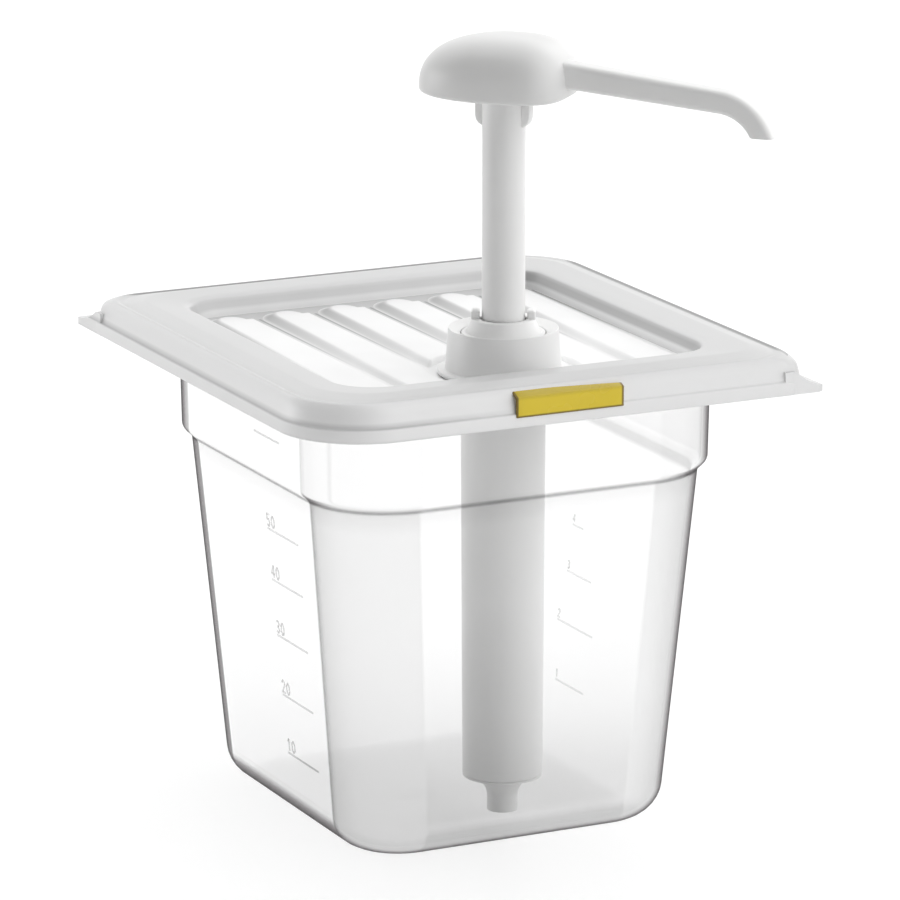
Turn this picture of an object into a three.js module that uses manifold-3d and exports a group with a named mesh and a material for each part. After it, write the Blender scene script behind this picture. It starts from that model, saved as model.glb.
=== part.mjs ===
// Sauce dispenser: a clear one-sixth-size food pan, a tight translucent lid and a plunger pump that stands through the lid.
// Millimetres, +Z up. The origin is the middle of the pan's base, +X runs along the front face and +Y towards the back.
// The plunger's own +X is the way the spout points, and it is turned about the pump's axis as one group.
import * as THREE from "three";
import { mergeVertices } from "three/addons/utils/BufferGeometryUtils.js";
import Module from "manifold-3d";

const wasm = await Module();
wasm.setup();

// Clearances between pieces, and how far a cut runs past the face it cuts
const seatGap = 0.3;
const runningGap = 0.3;
const overrun = 1;

// Smoothness
const cornerSteps = 6;
const roundSides = 32;
const hiddenSides = 24;
const ballRings = 8;
const springSidesPerTurn = 8;
const wireSides = 5;
const headRings = 9;
const headSides = 32;
const bendSteps = 8;

// Pan: half sizes are of the outside, and its depth is the height of the rim
const panDepth = 150;
const panWall = 2.2;
const panFloor = 2.4;
const panMouthHalfX = 69.8;
const panMouthHalfY = 72.6;
const panMouthRadius = 29.5;
const bandDraft = 0.6;
const shoulderHeight = 115.4;
const shoulderRise = 3;
const shoulderStep = 3.1;
const panTaperX = 10.1;
const panTaperY = 8.3;
const panTaperRadius = 3.8;
const baseFillet = 10.5;
const baseFilletSteps = 5;
const rimReachX = 11.7;
const rimReachY = 13.2;
const rimThickness = 2.2;
const rimLip = 5.5;
const rimLipThickness = 1.8;

// Lid: it fits over the pan's rim, and its heights and insets are from its bottom edge
const rimPlay = 1.1;
const lidDrop = 6.2;
const lidCornerRadius = 27;
const lidTabCornerRadius = 7;
const frameTabCornerRadius = 12;
const lidWall = 1.9;
const flangeHeight = 4.7;
const flangeStep = 0.8;
const skirtHeight = 4.4;
const skirtInset = 1.9;
const shoulderInset = 2.6;
const shoulderHeightOnLid = 10.7;
const frameEdgeInset = 3.7;
const frameEdgeHeight = 11.9;
const grooveWidth = 1.6;
const grooveDepth = 0.5;
const crownInset = 11;
const crownHeight = 13;
const recessPlayX = 4.7;
const recessPlayY = 3.2;
const recessEdgeHeight = 12.2;
const recessRadius = 14;
const recessDraft = 1.9;
const panelHeight = 6;
const panelRadius = 12;
const tabThickness = 3.3;
const tabSetback = 0.2;
const frontTabReach = 5.2;
const rearTabReach = 12.6;
const gussetRise = 4.2;
const gussetRun = 5;
const gussetWidth = 5;
const gussetReachShare = 0.6;
const tabLength = 17;
const tabRadius = 2.2;
const tabTailRadius = 8;

// Raised tongues pressed into the lid's panel
const tongueCount = 6;
const tonguePitch = 19.8;
const tongueWidth = 17.4;
const tongueRise = 1.7;
const tongueBevel = 0.7;
const tongueMargin = 2.2;
const tongueArch = 11;
const tongueSteps = 5;
const pumpLandRadius = 24;

// Lid gasket, on the pan's rim
const gasketWidth = 7;

// Colour-code clip on the front skirt: its lip lies in the lid's shoulder and is cut back towards its right end
const clipMiddle = 0.45;
const clipWidth = 36.7;
const clipBottomHeight = 3.3;
const clipThickness = 1;
const clipLipRun = 4.2;
const clipLipRise = 1.8;
const clipLipEndRun = 1.9;
const clipSeatDepth = 0.9;

// Where the pump stands in the lid
const pumpX = 0;
const pumpPlay = 0.7;
const spoutTurn = -45.9;
const clawTurn = -28;

// Pump cylinder
const boreRadius = 11.6;
const cylinderWall = 1.7;
const cylinderDraft = 0.6;
const cylinderBottom = 20;
const neckPlay = 0.45;
const cylinderFlangeRadius = 18.5;
const cylinderFlangeThickness = 2;
const washerThickness = 1;
const threadDepth = 1.3;
const threadWidth = 2;
const threadPitch = 3.6;
const threadCount = 2;

// Collar nut that clamps the cylinder to the lid
const collarFootRadius = 20.6;
const collarFootThickness = 1.3;
const collarBottomRadius = 18.2;
const collarTopRadius = 17.2;
const collarTopThickness = 3.3;
const collarDish = 1.6;
const collarTopHoleRadius = 13.4;

// Guide cap, its bush and its wiper
const capFlangeThickness = 1.6;
const capPlugDepth = 22.2;
const capRimWidth = 1.3;
const capConeHeight = 2.8;
const capConeTopRadius = 9.6;
const capShelf = 0.9;
const bushWall = 2;
const bushLength = 11;
const wiperWall = 1;
const wiperHeight = 1.6;
const capRoof = 0.9;
const clawRadius = 8.6;
const clawDepth = 2.8;
const clawWidth = 4.6;
const clawHeight = 2.7;

// Stem
const stemRadius = 6.75;
const stemWall = 2.1;
const lugReach = 8.9;
const lugWidth = 4.2;
const lugHeight = 8.8;
const lugCorner = 2.1;
const lugRamp = 3;

// Piston
const pistonTopRise = 9;
const pistonSeatRise = 2.9;
const pistonSideGap = 0.5;
const pistonPortRadius = 2.9;
const sealHeight = 2.6;
const sealDepth = 2.2;
const landHeight = 2.2;
const sealSideGap = 0.3;
const spigotRadius = 5.4;
const retainerHeight = 3.8;
const spigotEndRise = 0.4;
const thrustWasherHeight = 1.5;
const thrustHoleRadius = 4;

// Valve balls and what keeps them in
const outletBallRadius = 3.6;
const outletBallLift = 3;
const inletBallRadius = 4.2;
const inletBallLift = 3.3;
const ballPlay = 0.3;
const crossBarWidth = 1.6;
const crossHeight = 2;

// Inlet foot
const footRimHeight = 0.5;
const neckRadius = 4.9;
const neckBoreRadius = 3.4;
const neckBottom = 7.5;
const trumpetBottom = 12;
const trumpetSteps = 6;
const footSeatHeight = 16.3;
const chamberRadius = 5.2;
const footSealHeight = 1.8;
const footSealDepth = 1.6;
const cageHeight = 2;

// Return spring
const springTurns = 12;
const springRadius = 9.4;
const springWire = 1.5;

// Head: a smooth oblong dome, longer behind the stem than before it
const headGap = 1.1;
const headHeight = 18.5;
const headRearReach = 27.1;
const headFrontReach = 21.5;
const headHalfWidth = 19.4;
const headWall = 2;
const headRimInset = 1.6;
const headRimHeight = 1.4;
const socketWall = 2.4;
const socketBottomRise = 0.6;
const socketDepth = 4.9;
const socketTopRise = 14;
const flowRadius = 4.4;

// Spout
const spoutRootReach = 11.8;
const spoutRootRise = 8.3;
const spoutDrop = 6;
const spoutBendReach = 70;
const spoutBendRadius = 16;
const spoutTipAngle = 62;
const spoutTipLength = 6;
const spoutTipRise = -8;
const spoutHeight = 8.3;
const spoutTipHeight = 6.6;
const spoutWidth = 8.6;
const spoutTipWidth = 7.6;
const spoutCorner = 1.8;
const spoutWall = 1.2;
const sleeveWall = 1.6;
const sleeveReach = 24;
const spoutSealLength = 1.6;

// The plunger goes down by its stroke until the stem's lugs are at the guide cap's claws
const plungerStroke = 57.4;
const stopPlay = 0.6;

// Finishes
const clearPlastic = new THREE.MeshStandardMaterial({
  color: 0xf1f2f3,
  roughness: 0.12,
  transparent: true,
  opacity: 0.35,
});
const milkyPlastic = new THREE.MeshStandardMaterial({ color: 0xdedfdf, roughness: 0.35, transparent: true, opacity: 0.85 });
const whitePlastic = new THREE.MeshStandardMaterial({ color: 0xeeeeec, roughness: 0.38 });
const yellowPlastic = new THREE.MeshStandardMaterial({ color: 0xd6bd3a, roughness: 0.4 });
const silicone = new THREE.MeshStandardMaterial({ color: 0xd9dad8, roughness: 0.6 });
const steel = new THREE.MeshStandardMaterial({ color: 0xc4c6c8, roughness: 0.3, metalness: 1 });

// A closed geometry as a solid that can be joined and cut
function solidOf(geometry) {
  const bare = geometry.clone();
  bare.deleteAttribute("normal");
  bare.deleteAttribute("uv");
  const merged = mergeVertices(bare, 1e-4);
  return new wasm.Manifold(
    new wasm.Mesh({
      numProp: 3,
      vertProperties: new Float32Array(merged.attributes.position.array),
      triVerts: new Uint32Array(merged.index.array),
    }),
  );
}

// A solid back as a geometry that three.js draws
function geometryOf(solid) {
  const mesh = solid.getMesh();
  const geometry = new THREE.BufferGeometry();
  geometry.setAttribute("position", new THREE.BufferAttribute(new Float32Array(mesh.vertProperties), 3));
  geometry.setIndex(new THREE.BufferAttribute(new Uint32Array(mesh.triVerts), 1));
  geometry.computeVertexNormals();
  return geometry;
}

// A named mesh from a solid or a geometry
function piece(name, shape, material) {
  const geometry = shape.isBufferGeometry ? shape : geometryOf(shape);
  const mesh = new THREE.Mesh(geometry, material);
  mesh.name = name;
  return mesh;
}

// Rings of points skinned in order: the first and last are closed by flat fans, or joined to each other.
// Rings run anticlockwise seen from the side that the skin travels to.
function skin(rings, closed = false) {
  const count = rings[0].length;
  const points = rings.flat();
  const faces = [];
  const last = closed ? rings.length : rings.length - 1;
  for (let k = 0; k < last; k++) {
    const low = k * count;
    const high = ((k + 1) % rings.length) * count;
    for (let i = 0; i < count; i++) {
      const next = (i + 1) % count;
      faces.push(low + i, low + next, high + next, low + i, high + next, high + i);
    }
  }
  if (!closed) {
    const first = points.length;
    points.push(middleOf(rings[0]), middleOf(rings[rings.length - 1]));
    const top = (rings.length - 1) * count;
    for (let i = 0; i < count; i++) {
      const next = (i + 1) % count;
      faces.push(first, next, i, first + 1, top + i, top + next);
    }
  }
  const geometry = new THREE.BufferGeometry().setFromPoints(points);
  geometry.setIndex(faces);
  return solidOf(geometry);
}

// The mean point of a ring
function middleOf(ring) {
  const sum = new THREE.Vector3();
  ring.forEach((point) => sum.add(point));
  return sum.divideScalar(ring.length);
}

// A rounded rectangle at one height, anticlockwise from above. The front-left and rear-right corners take radius,
// the two corners that carry the lid's tabs take tabRadius.
function roundedRectangle(halfX, halfY, height, radius, tabCorner = radius) {
  const points = [];
  const corners = [
    [1, 1, radius],
    [-1, 1, tabCorner],
    [-1, -1, radius],
    [1, -1, tabCorner],
  ];
  corners.forEach(([sideX, sideY, round], quarter) => {
    for (let step = 0; step <= cornerSteps; step++) {
      const angle = ((quarter + step / cornerSteps) * Math.PI) / 2;
      points.push(
        new THREE.Vector3(
          sideX * (halfX - round) + round * Math.cos(angle),
          sideY * (halfY - round) + round * Math.sin(angle),
          height,
        ),
      );
    }
  });
  return points;
}

// A turned piece from a profile of [radius, height] pairs that starts and ends on the axis or closes on itself.
// The profile runs anticlockwise with the radius to the right and the height up.
function turned(profile, sides = roundSides) {
  const points = profile.map(([radius, height]) => new THREE.Vector2(radius, height));
  const geometry = new THREE.LatheGeometry(points, sides);
  geometry.rotateX(Math.PI / 2);
  return solidOf(geometry);
}

// A plain ring or, with no inner radius, a disc
function ring(inner, outer, bottom, top, sides = roundSides) {
  const profile =
    inner > 0
      ? [
          [inner, bottom],
          [outer, bottom],
          [outer, top],
          [inner, top],
          [inner, bottom],
        ]
      : [
          [0, bottom],
          [outer, bottom],
          [outer, top],
          [0, top],
        ];
  return turned(profile, sides);
}

// A box between two corners
function block(lowX, lowY, lowZ, highX, highY, highZ) {
  const box = new THREE.BoxGeometry(highX - lowX, highY - lowY, highZ - lowZ);
  box.translate((lowX + highX) / 2, (lowY + highY) / 2, (lowZ + highZ) / 2);
  return solidOf(box);
}

// A flat outline raised from one height to another
function raised(shape, bottom, top, curveSegments = cornerSteps) {
  const geometry = new THREE.ExtrudeGeometry(shape, { depth: top - bottom, bevelEnabled: false, curveSegments });
  geometry.translate(0, 0, bottom);
  return solidOf(geometry);
}

// Heights and radii that several pieces share
const boreWallRadius = boreRadius + cylinderWall;
const rimHalfX = panMouthHalfX + rimReachX;
const rimHalfY = panMouthHalfY + rimReachY;
const lidHalfX = rimHalfX + rimPlay + lidWall;
const lidHalfY = rimHalfY + rimPlay + lidWall;
const lidBottom = panDepth - lidDrop;
const recessHalfX = panMouthHalfX - panWall - recessPlayX;
const recessHalfY = panMouthHalfY - panWall - recessPlayY;
const pumpY = collarFootRadius + pumpPlay + recessDraft - recessHalfY;
const panelTop = lidBottom + panelHeight;
const panelUnderside = panelTop - lidWall;
const clipLeft = clipMiddle - clipWidth / 2;
const clipRight = clipMiddle + clipWidth / 2;
const clipFace = -lidHalfY - clipThickness + clipSeatDepth - seatGap;
const clipBend = lidBottom + flangeHeight + skirtHeight + clipThickness / 2;
const neckTop = panelTop + threadWidth + threadPitch * threadCount;
const cylinderEndRadius = boreWallRadius - cylinderDraft;
const flangeTop = panelUnderside - seatGap - washerThickness - seatGap;
const collarBottom = panelTop + seatGap;
const capFlangeBottom = neckTop + seatGap;
const capFlangeTop = capFlangeBottom + capFlangeThickness;
const collarRoof = capFlangeTop + seatGap;
const collarTop = collarRoof + collarTopThickness;
const dishLevel = collarTop - collarDish;
const capTop = collarTop + capConeHeight;
const plugBottom = capFlangeBottom - capPlugDepth;
const stemBore = stemRadius - stemWall;
const seatEdge = plugBottom - seatGap - pistonTopRise;
const stemBottom = seatEdge + seatGap;
const lugBottom = capTop + clawHeight + stopPlay + plungerStroke;
const lugTop = lugBottom + lugHeight;
const headBottom = lugTop + headGap;
const stemTop = headBottom + socketDepth;
const pistonSideRadius = boreRadius - pistonSideGap;
const sealInner = boreRadius - sealDepth - seatGap;
const pistonLower = seatEdge - pistonSeatRise - sealHeight * 2 - landHeight * 2 - sealSideGap * 3;
const spigotBottom = pistonLower - retainerHeight - spigotEndRise;
const thrustTop = spigotBottom - seatGap;
const thrustBottom = thrustTop - thrustWasherHeight;
const outletBallHeight = restingHeight(outletBallRadius, pistonPortRadius, seatEdge);
const inletBallHeight = restingHeight(inletBallRadius, neckBoreRadius, footSeatHeight);
const cageBottom = inletBallHeight + inletBallRadius + inletBallLift + ballPlay;
const cageTop = cageBottom + cageHeight;
const footTop = cageBottom - seatGap;
const springBottom = cageTop + seatGap;
const springTop = thrustBottom - seatGap;

// Height at which a ball rests in a round edge of the given radius, with the seat's play under it
function restingHeight(ballRadius, edgeRadius, edgeHeight) {
  return edgeHeight + Math.sqrt(ballRadius ** 2 - edgeRadius ** 2) + ballPlay;
}

function pan() {
  const draftShare = 1 - baseFillet / shoulderHeight;
  const lowerX = panMouthHalfX - bandDraft - shoulderStep;
  const lowerY = panMouthHalfY - bandDraft - shoulderStep;
  const lowerRadius = panMouthRadius - bandDraft - shoulderStep;
  // The wall's rectangle at a share of the way down from the shoulder to the base, moved in by inset
  const wallRing = (share, height, inset) =>
    roundedRectangle(
      lowerX - panTaperX * share - inset,
      lowerY - panTaperY * share - inset,
      height,
      lowerRadius - panTaperRadius * share - inset,
    );
  // The base's rounded edge, from the flat base up to the wall or down from it
  const filletRings = (radius, inset, bottom) => {
    const rings = [];
    for (let step = 0; step <= baseFilletSteps; step++) {
      const angle = ((step / baseFilletSteps) * Math.PI) / 2;
      const height = bottom + radius * (1 - Math.sin(angle));
      rings.push(wallRing(1 - height / shoulderHeight, height, inset + radius * (1 - Math.cos(angle))));
    }
    return rings.reverse();
  };
  const upperRing = (inset, height) =>
    roundedRectangle(panMouthHalfX - inset, panMouthHalfY - inset, height, panMouthRadius - inset);
  const rimRing = (inset, height) =>
    roundedRectangle(rimHalfX - inset, rimHalfY - inset, height, rimRadius - inset);
  const rimUnderside = panDepth - rimThickness;
  const rimRadius = lidCornerRadius - lidWall - rimPlay / 2;
  const innerFillet = baseFillet - panWall;
  return skin([
    ...filletRings(baseFillet, 0, 0),
    wallRing(draftShare / 2, shoulderHeight / 2 + baseFillet / 2, 0),
    wallRing(0, shoulderHeight, 0),
    upperRing(bandDraft, shoulderHeight + shoulderRise),
    upperRing(0, rimUnderside),
    rimRing(rimLipThickness, rimUnderside),
    rimRing(rimLipThickness, panDepth - rimLip),
    rimRing(0, panDepth - rimLip),
    rimRing(0, panDepth - rimThickness / 2),
    rimRing(rimThickness / 2, panDepth),
    upperRing(panWall, panDepth),
    upperRing(panWall + bandDraft, shoulderHeight + shoulderRise),
    wallRing(0, shoulderHeight, panWall),
    wallRing(draftShare / 2, shoulderHeight / 2 + baseFillet / 2, panWall),
    ...filletRings(innerFillet, panWall, panFloor).reverse(),
  ]);
}

// One ring of the lid: inset from its bottom edge, height above that edge, and how far the tab corners have softened
function lidRing(inset, height, cornerRadius, tabCornerRadius) {
  return roundedRectangle(lidHalfX - inset, lidHalfY - inset, lidBottom + height, cornerRadius, tabCornerRadius);
}

// One ring of the lid's recess: how far outside the recess's top edge, and its height
function recessRing(grow, height, radius) {
  return roundedRectangle(recessHalfX + grow, recessHalfY + grow, lidBottom + height, radius);
}

// The lid's moulded sheet: skirt, crowned frame and sunk panel
function lidSheet() {
  const edgeRadius = lidCornerRadius - frameEdgeInset;
  const skirtTabRadius = lidTabCornerRadius - skirtInset;
  const crownRadius = (edgeRadius + recessRadius) / 2;
  const crownTabRadius = (frameTabCornerRadius + recessRadius) / 2;
  const grooveEnd = frameEdgeInset + grooveWidth * 2;
  const outside = [
    lidRing(0, 0, lidCornerRadius, lidTabCornerRadius),
    lidRing(0, flangeHeight - flangeStep / 2, lidCornerRadius, lidTabCornerRadius),
    lidRing(flangeStep, flangeHeight, lidCornerRadius - flangeStep, lidTabCornerRadius - flangeStep),
    lidRing(skirtInset, flangeHeight + skirtHeight, lidCornerRadius - skirtInset, skirtTabRadius),
    lidRing(shoulderInset, shoulderHeightOnLid, lidCornerRadius - shoulderInset, skirtTabRadius + flangeStep),
    lidRing(frameEdgeInset, frameEdgeHeight, edgeRadius, frameTabCornerRadius),
    lidRing(frameEdgeInset + grooveWidth, frameEdgeHeight - grooveDepth, edgeRadius - grooveWidth, frameTabCornerRadius),
    lidRing(grooveEnd, frameEdgeHeight + grooveDepth, edgeRadius - grooveWidth * 2, frameTabCornerRadius),
    lidRing(crownInset, crownHeight, crownRadius, crownTabRadius),
    recessRing(grooveWidth, recessEdgeHeight + grooveDepth / 2, recessRadius + grooveWidth / 2),
    recessRing(0, recessEdgeHeight - grooveDepth, recessRadius),
    recessRing(-recessDraft, panelHeight, panelRadius),
  ];
  const underRadius = panelRadius + lidWall * 2;
  const overRim = panDepth - lidBottom + seatGap;
  const inside = [
    recessRing(-recessDraft - lidWall, panelHeight - lidWall, panelRadius),
    recessRing(lidWall - recessDraft, panelHeight - lidWall, underRadius),
    recessRing(lidWall - recessDraft, overRim, underRadius),
    recessRing(lidWall, frameEdgeHeight - lidWall, underRadius + recessDraft),
    lidRing(frameEdgeInset + lidWall, frameEdgeHeight - lidWall, edgeRadius - lidWall, frameTabCornerRadius),
    lidRing(skirtInset + lidWall, flangeHeight + skirtHeight, edgeRadius - lidWall, skirtTabRadius),
    lidRing(lidWall, flangeHeight, lidCornerRadius - lidWall, lidTabCornerRadius - lidWall),
    lidRing(lidWall, 0, lidCornerRadius - lidWall, lidTabCornerRadius - lidWall),
  ];
  return skin([...inside, ...outside]);
}

// A pull tab: a thin plate that runs past a corner, flush with one side of the lid.
// along is the reach past the corner, and the outline is drawn for a tab that reaches to +X and runs back along +Y.
function tabPlate(reach) {
  const root = lidWall + lidTabCornerRadius;
  const shape = new THREE.Shape();
  shape.moveTo(-root, tabSetback);
  shape.lineTo(reach - tabRadius, tabSetback);
  shape.absarc(reach - tabRadius, tabSetback + tabRadius, tabRadius, -Math.PI / 2, 0);
  shape.lineTo(reach, tabLength - tabTailRadius);
  shape.quadraticCurveTo(reach, tabLength, 0, tabLength + tabTailRadius / 2);
  shape.lineTo(-flangeStep, tabLength + tabTailRadius / 2);
  shape.lineTo(-flangeStep, root);
  shape.lineTo(-root, root);
  shape.closePath();
  return raised(shape, lidBottom + tabSetback, lidBottom + tabThickness);
}

// The web that rises from a tab's plate to the lid's corner, in the plate's own place
function tabGusset(reach) {
  const root = lidWall + lidTabCornerRadius;
  const foot = lidBottom + tabThickness;
  const shape = new THREE.Shape();
  shape.moveTo(-root, foot - tabSetback);
  shape.lineTo(reach * gussetReachShare, foot - tabSetback);
  shape.lineTo(reach * gussetReachShare, foot);
  shape.quadraticCurveTo(0, foot, -gussetRun, foot + gussetRise);
  shape.lineTo(-root, foot + gussetRise);
  shape.closePath();
  const geometry = new THREE.ExtrudeGeometry(shape, {
    depth: gussetWidth,
    bevelEnabled: false,
    curveSegments: cornerSteps,
  });
  geometry.rotateX(Math.PI / 2);
  geometry.translate(0, gussetWidth + tabSetback * 2 + flangeStep, 0);
  return solidOf(geometry);
}

// The two tabs, mirrored on each other across the line from the front-left to the rear-right corner
function lidTabs() {
  const front = tabPlate(frontTabReach).add(tabGusset(frontTabReach)).translate([lidHalfX, -lidHalfY, 0]);
  const rear = tabPlate(rearTabReach)
    .add(tabGusset(rearTabReach))
    .mirror([1, -1, 0])
    .translate([-lidHalfX, lidHalfY, 0]);
  return front.add(rear);
}

// The raised tongues, round at the rear, leaving a round land for the pump
function tongues() {
  const rear = recessHalfY - recessDraft - tongueMargin;
  const front = -rear;
  const half = tongueWidth / 2 - tongueBevel;
  const cornerRound = panelRadius / 2;
  const land = ring(0, pumpLandRadius, panelUnderside, panelTop + tongueRise + overrun).translate([pumpX, pumpY, 0]);
  const made = [];
  for (let index = 0; index < tongueCount; index++) {
    const middle = (index - (tongueCount - 1) / 2) * tonguePitch;
    const shape = new THREE.Shape();
    shape.moveTo(middle - half + cornerRound, front);
    shape.lineTo(middle + half - cornerRound, front);
    shape.quadraticCurveTo(middle + half, front, middle + half, front + cornerRound);
    shape.lineTo(middle + half, rear - tongueArch);
    shape.absellipse(middle, rear - tongueArch, half, tongueArch - tongueBevel, 0, Math.PI);
    shape.lineTo(middle - half, front + cornerRound);
    shape.quadraticCurveTo(middle - half, front, middle - half + cornerRound, front);
    const geometry = new THREE.ExtrudeGeometry(shape, {
      depth: tongueRise,
      bevelEnabled: true,
      bevelThickness: tongueBevel,
      bevelSize: tongueBevel,
      bevelSegments: 1,
      curveSegments: tongueSteps,
    });
    geometry.translate(0, 0, panelTop - tongueBevel);
    made.push(solidOf(geometry).subtract(land));
  }
  return made;
}

// A section in Y and Z drawn out along X between two places
function drawnAlongX(profile, low, high) {
  const geometry = new THREE.ExtrudeGeometry(profile, { depth: high - low, bevelEnabled: false });
  const toXyz = new THREE.Matrix4().makeBasis(
    new THREE.Vector3(0, 1, 0),
    new THREE.Vector3(0, 0, 1),
    new THREE.Vector3(1, 0, 0),
  );
  geometry.applyMatrix4(toXyz);
  geometry.translate(low, 0, 0);
  return solidOf(geometry);
}

// The seat pressed into the front skirt and the shoulder for the colour-code clip, open to the front and the top
function clipSeat() {
  const front = clipFace - overrun;
  const back = clipFace + clipThickness + seatGap;
  const end = clipFace + clipLipRun + seatGap;
  const bottom = lidBottom + clipBottomHeight - seatGap;
  const drop = clipThickness + seatGap;
  const top = clipBend + clipLipRise + clipThickness + overrun;
  const profile = new THREE.Shape();
  profile.moveTo(front, bottom);
  profile.lineTo(back, bottom);
  profile.lineTo(back, clipBend - drop / 2);
  profile.lineTo(end, clipBend + clipLipRise - drop);
  profile.lineTo(end, top);
  profile.lineTo(front, top);
  profile.closePath();
  return drawnAlongX(profile, clipLeft - seatGap, clipRight + seatGap);
}

function lid() {
  let made = lidSheet().add(lidTabs());
  tongues().forEach((tongue) => {
    made = made.add(tongue);
  });
  const neckHole = boreWallRadius + threadDepth + neckPlay;
  const hole = ring(0, neckHole, panelUnderside - overrun, panelTop + overrun).translate([pumpX, pumpY, 0]);
  return made.subtract(hole).subtract(clipSeat());
}

function lidGasket() {
  const top = lidBottom + frameEdgeHeight - lidWall - seatGap;
  const bottom = panDepth + seatGap;
  const outerX = lidHalfX - frameEdgeInset - lidWall - seatGap;
  const outerY = lidHalfY - frameEdgeInset - lidWall - seatGap;
  const innerX = outerX - gasketWidth;
  const innerY = outerY - gasketWidth;
  const radius = lidCornerRadius - frameEdgeInset;
  const innerRadius = radius - gasketWidth;
  return skin(
    [
      roundedRectangle(outerX, outerY, bottom, radius),
      roundedRectangle(outerX, outerY, top, radius),
      roundedRectangle(innerX, innerY, top, innerRadius),
      roundedRectangle(innerX, innerY, bottom, innerRadius),
    ],
    true,
  );
}

// The clip: a front plate over the skirt and a lip that lies in the lid's shoulder
function colourClip() {
  const back = clipFace + clipThickness;
  const end = clipFace + clipLipRun;
  const bottom = lidBottom + clipBottomHeight;
  const profile = new THREE.Shape();
  profile.moveTo(clipFace, bottom);
  profile.lineTo(back, bottom);
  profile.lineTo(back, clipBend - clipThickness / 2);
  profile.lineTo(end, clipBend + clipLipRise - clipThickness);
  profile.lineTo(end, clipBend + clipLipRise);
  profile.lineTo(clipFace, clipBend);
  profile.closePath();
  const plan = new THREE.Shape();
  plan.moveTo(clipLeft - overrun, clipFace - overrun);
  plan.lineTo(clipRight + overrun, clipFace - overrun);
  plan.lineTo(clipRight + overrun, clipFace + clipLipEndRun);
  plan.lineTo(clipLeft - overrun, end + seatGap);
  plan.closePath();
  return drawnAlongX(profile, clipLeft, clipRight).intersect(raised(plan, bottom - overrun, clipBend + clipLipRise + overrun));
}

// Ridges of the neck's thread, worked as rings, outside a given radius
function threadRidges(radius, depth, lowest) {
  const ridges = [];
  for (let index = 0; index < threadCount; index++) {
    const bottom = lowest + index * threadPitch;
    ridges.push(ring(radius - threadWidth / 2, radius + depth, bottom, bottom + threadWidth));
  }
  return ridges;
}

function pumpCylinder() {
  let made = turned([
    [boreRadius, cylinderBottom],
    [cylinderEndRadius, cylinderBottom],
    [boreWallRadius, flangeTop - cylinderFlangeThickness],
    [cylinderFlangeRadius, flangeTop - cylinderFlangeThickness],
    [cylinderFlangeRadius, flangeTop],
    [boreWallRadius, flangeTop],
    [boreWallRadius, neckTop],
    [boreRadius, neckTop],
    [boreRadius, cylinderBottom],
  ]);
  threadRidges(boreWallRadius, threadDepth - runningGap, panelTop + threadWidth).forEach((ridge) => {
    made = made.add(ridge);
  });
  return made;
}

function cylinderWasher() {
  const bottom = flangeTop + seatGap;
  return ring(boreWallRadius + seatGap, cylinderFlangeRadius, bottom, bottom + washerThickness);
}

function collarNut() {
  const bore = boreWallRadius + threadDepth + runningGap;
  const groove = bore - threadDepth;
  let made = turned([
    [bore, collarBottom],
    [collarFootRadius, collarBottom],
    [collarFootRadius, collarBottom + collarFootThickness],
    [collarBottomRadius, collarBottom + collarFootThickness],
    [collarTopRadius, collarTop],
    [collarTopHoleRadius, dishLevel],
    [collarTopHoleRadius, collarRoof],
    [bore, collarRoof],
    [bore, collarBottom],
  ]);
  const between = threadWidth + (threadPitch - threadWidth) / 2;
  const ridge = threadPitch - threadWidth - runningGap * 2;
  for (let index = 0; index < threadCount; index++) {
    const middle = panelTop + threadWidth + between + index * threadPitch;
    made = made.add(ring(groove + runningGap, bore + threadWidth / 2, middle - ridge / 2, middle + ridge / 2));
  }
  return made;
}

function guideCap() {
  const plug = boreRadius - runningGap;
  const bushSeat = stemRadius + runningGap + bushWall + seatGap;
  const wiperSeat = stemRadius + runningGap + wiperWall + seatGap;
  const wiperShelf = capTop - capRoof - wiperHeight - seatGap * 2;
  const throat = stemRadius + runningGap * 2;
  const flangeRadius = boreWallRadius + threadDepth;
  const rimRadius = collarTopHoleRadius - runningGap;
  const body = turned([
    [bushSeat, plugBottom],
    [plug, plugBottom],
    [plug, capFlangeBottom],
    [flangeRadius, capFlangeBottom],
    [flangeRadius, capFlangeTop],
    [rimRadius, capFlangeTop],
    [rimRadius, dishLevel],
    [rimRadius - capRimWidth, dishLevel],
    [capConeTopRadius, capTop],
    [throat, capTop],
    [throat, capTop - capRoof],
    [wiperSeat, capTop - capRoof],
    [wiperSeat, wiperShelf],
    [throat, wiperShelf],
    [throat, wiperShelf - capShelf],
    [bushSeat, wiperShelf - capShelf],
    [bushSeat, plugBottom],
  ]);
  const claw = block(
    clawRadius - clawDepth / 2,
    -clawWidth / 2,
    capTop - capRoof / 2,
    clawRadius + clawDepth / 2,
    clawWidth / 2,
    capTop + clawHeight,
  );
  // The claws stand on the cap's roof, clear of the stem's bore
  const claws = claw.add(claw.rotate([0, 0, 180])).rotate([0, 0, clawTurn]);
  const bore = ring(0, throat, plugBottom, capTop + clawHeight + overrun);
  return body.add(claws.subtract(bore));
}

function stemBush() {
  const shelf = capTop - capRoof - wiperHeight - seatGap * 2 - capShelf;
  const top = shelf - seatGap;
  return ring(stemRadius + runningGap, stemRadius + runningGap + bushWall, top - bushLength, top);
}

function stemWiper() {
  const top = capTop - capRoof - seatGap;
  return ring(stemRadius + runningGap, stemRadius + runningGap + wiperWall, top - wiperHeight, top);
}

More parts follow.
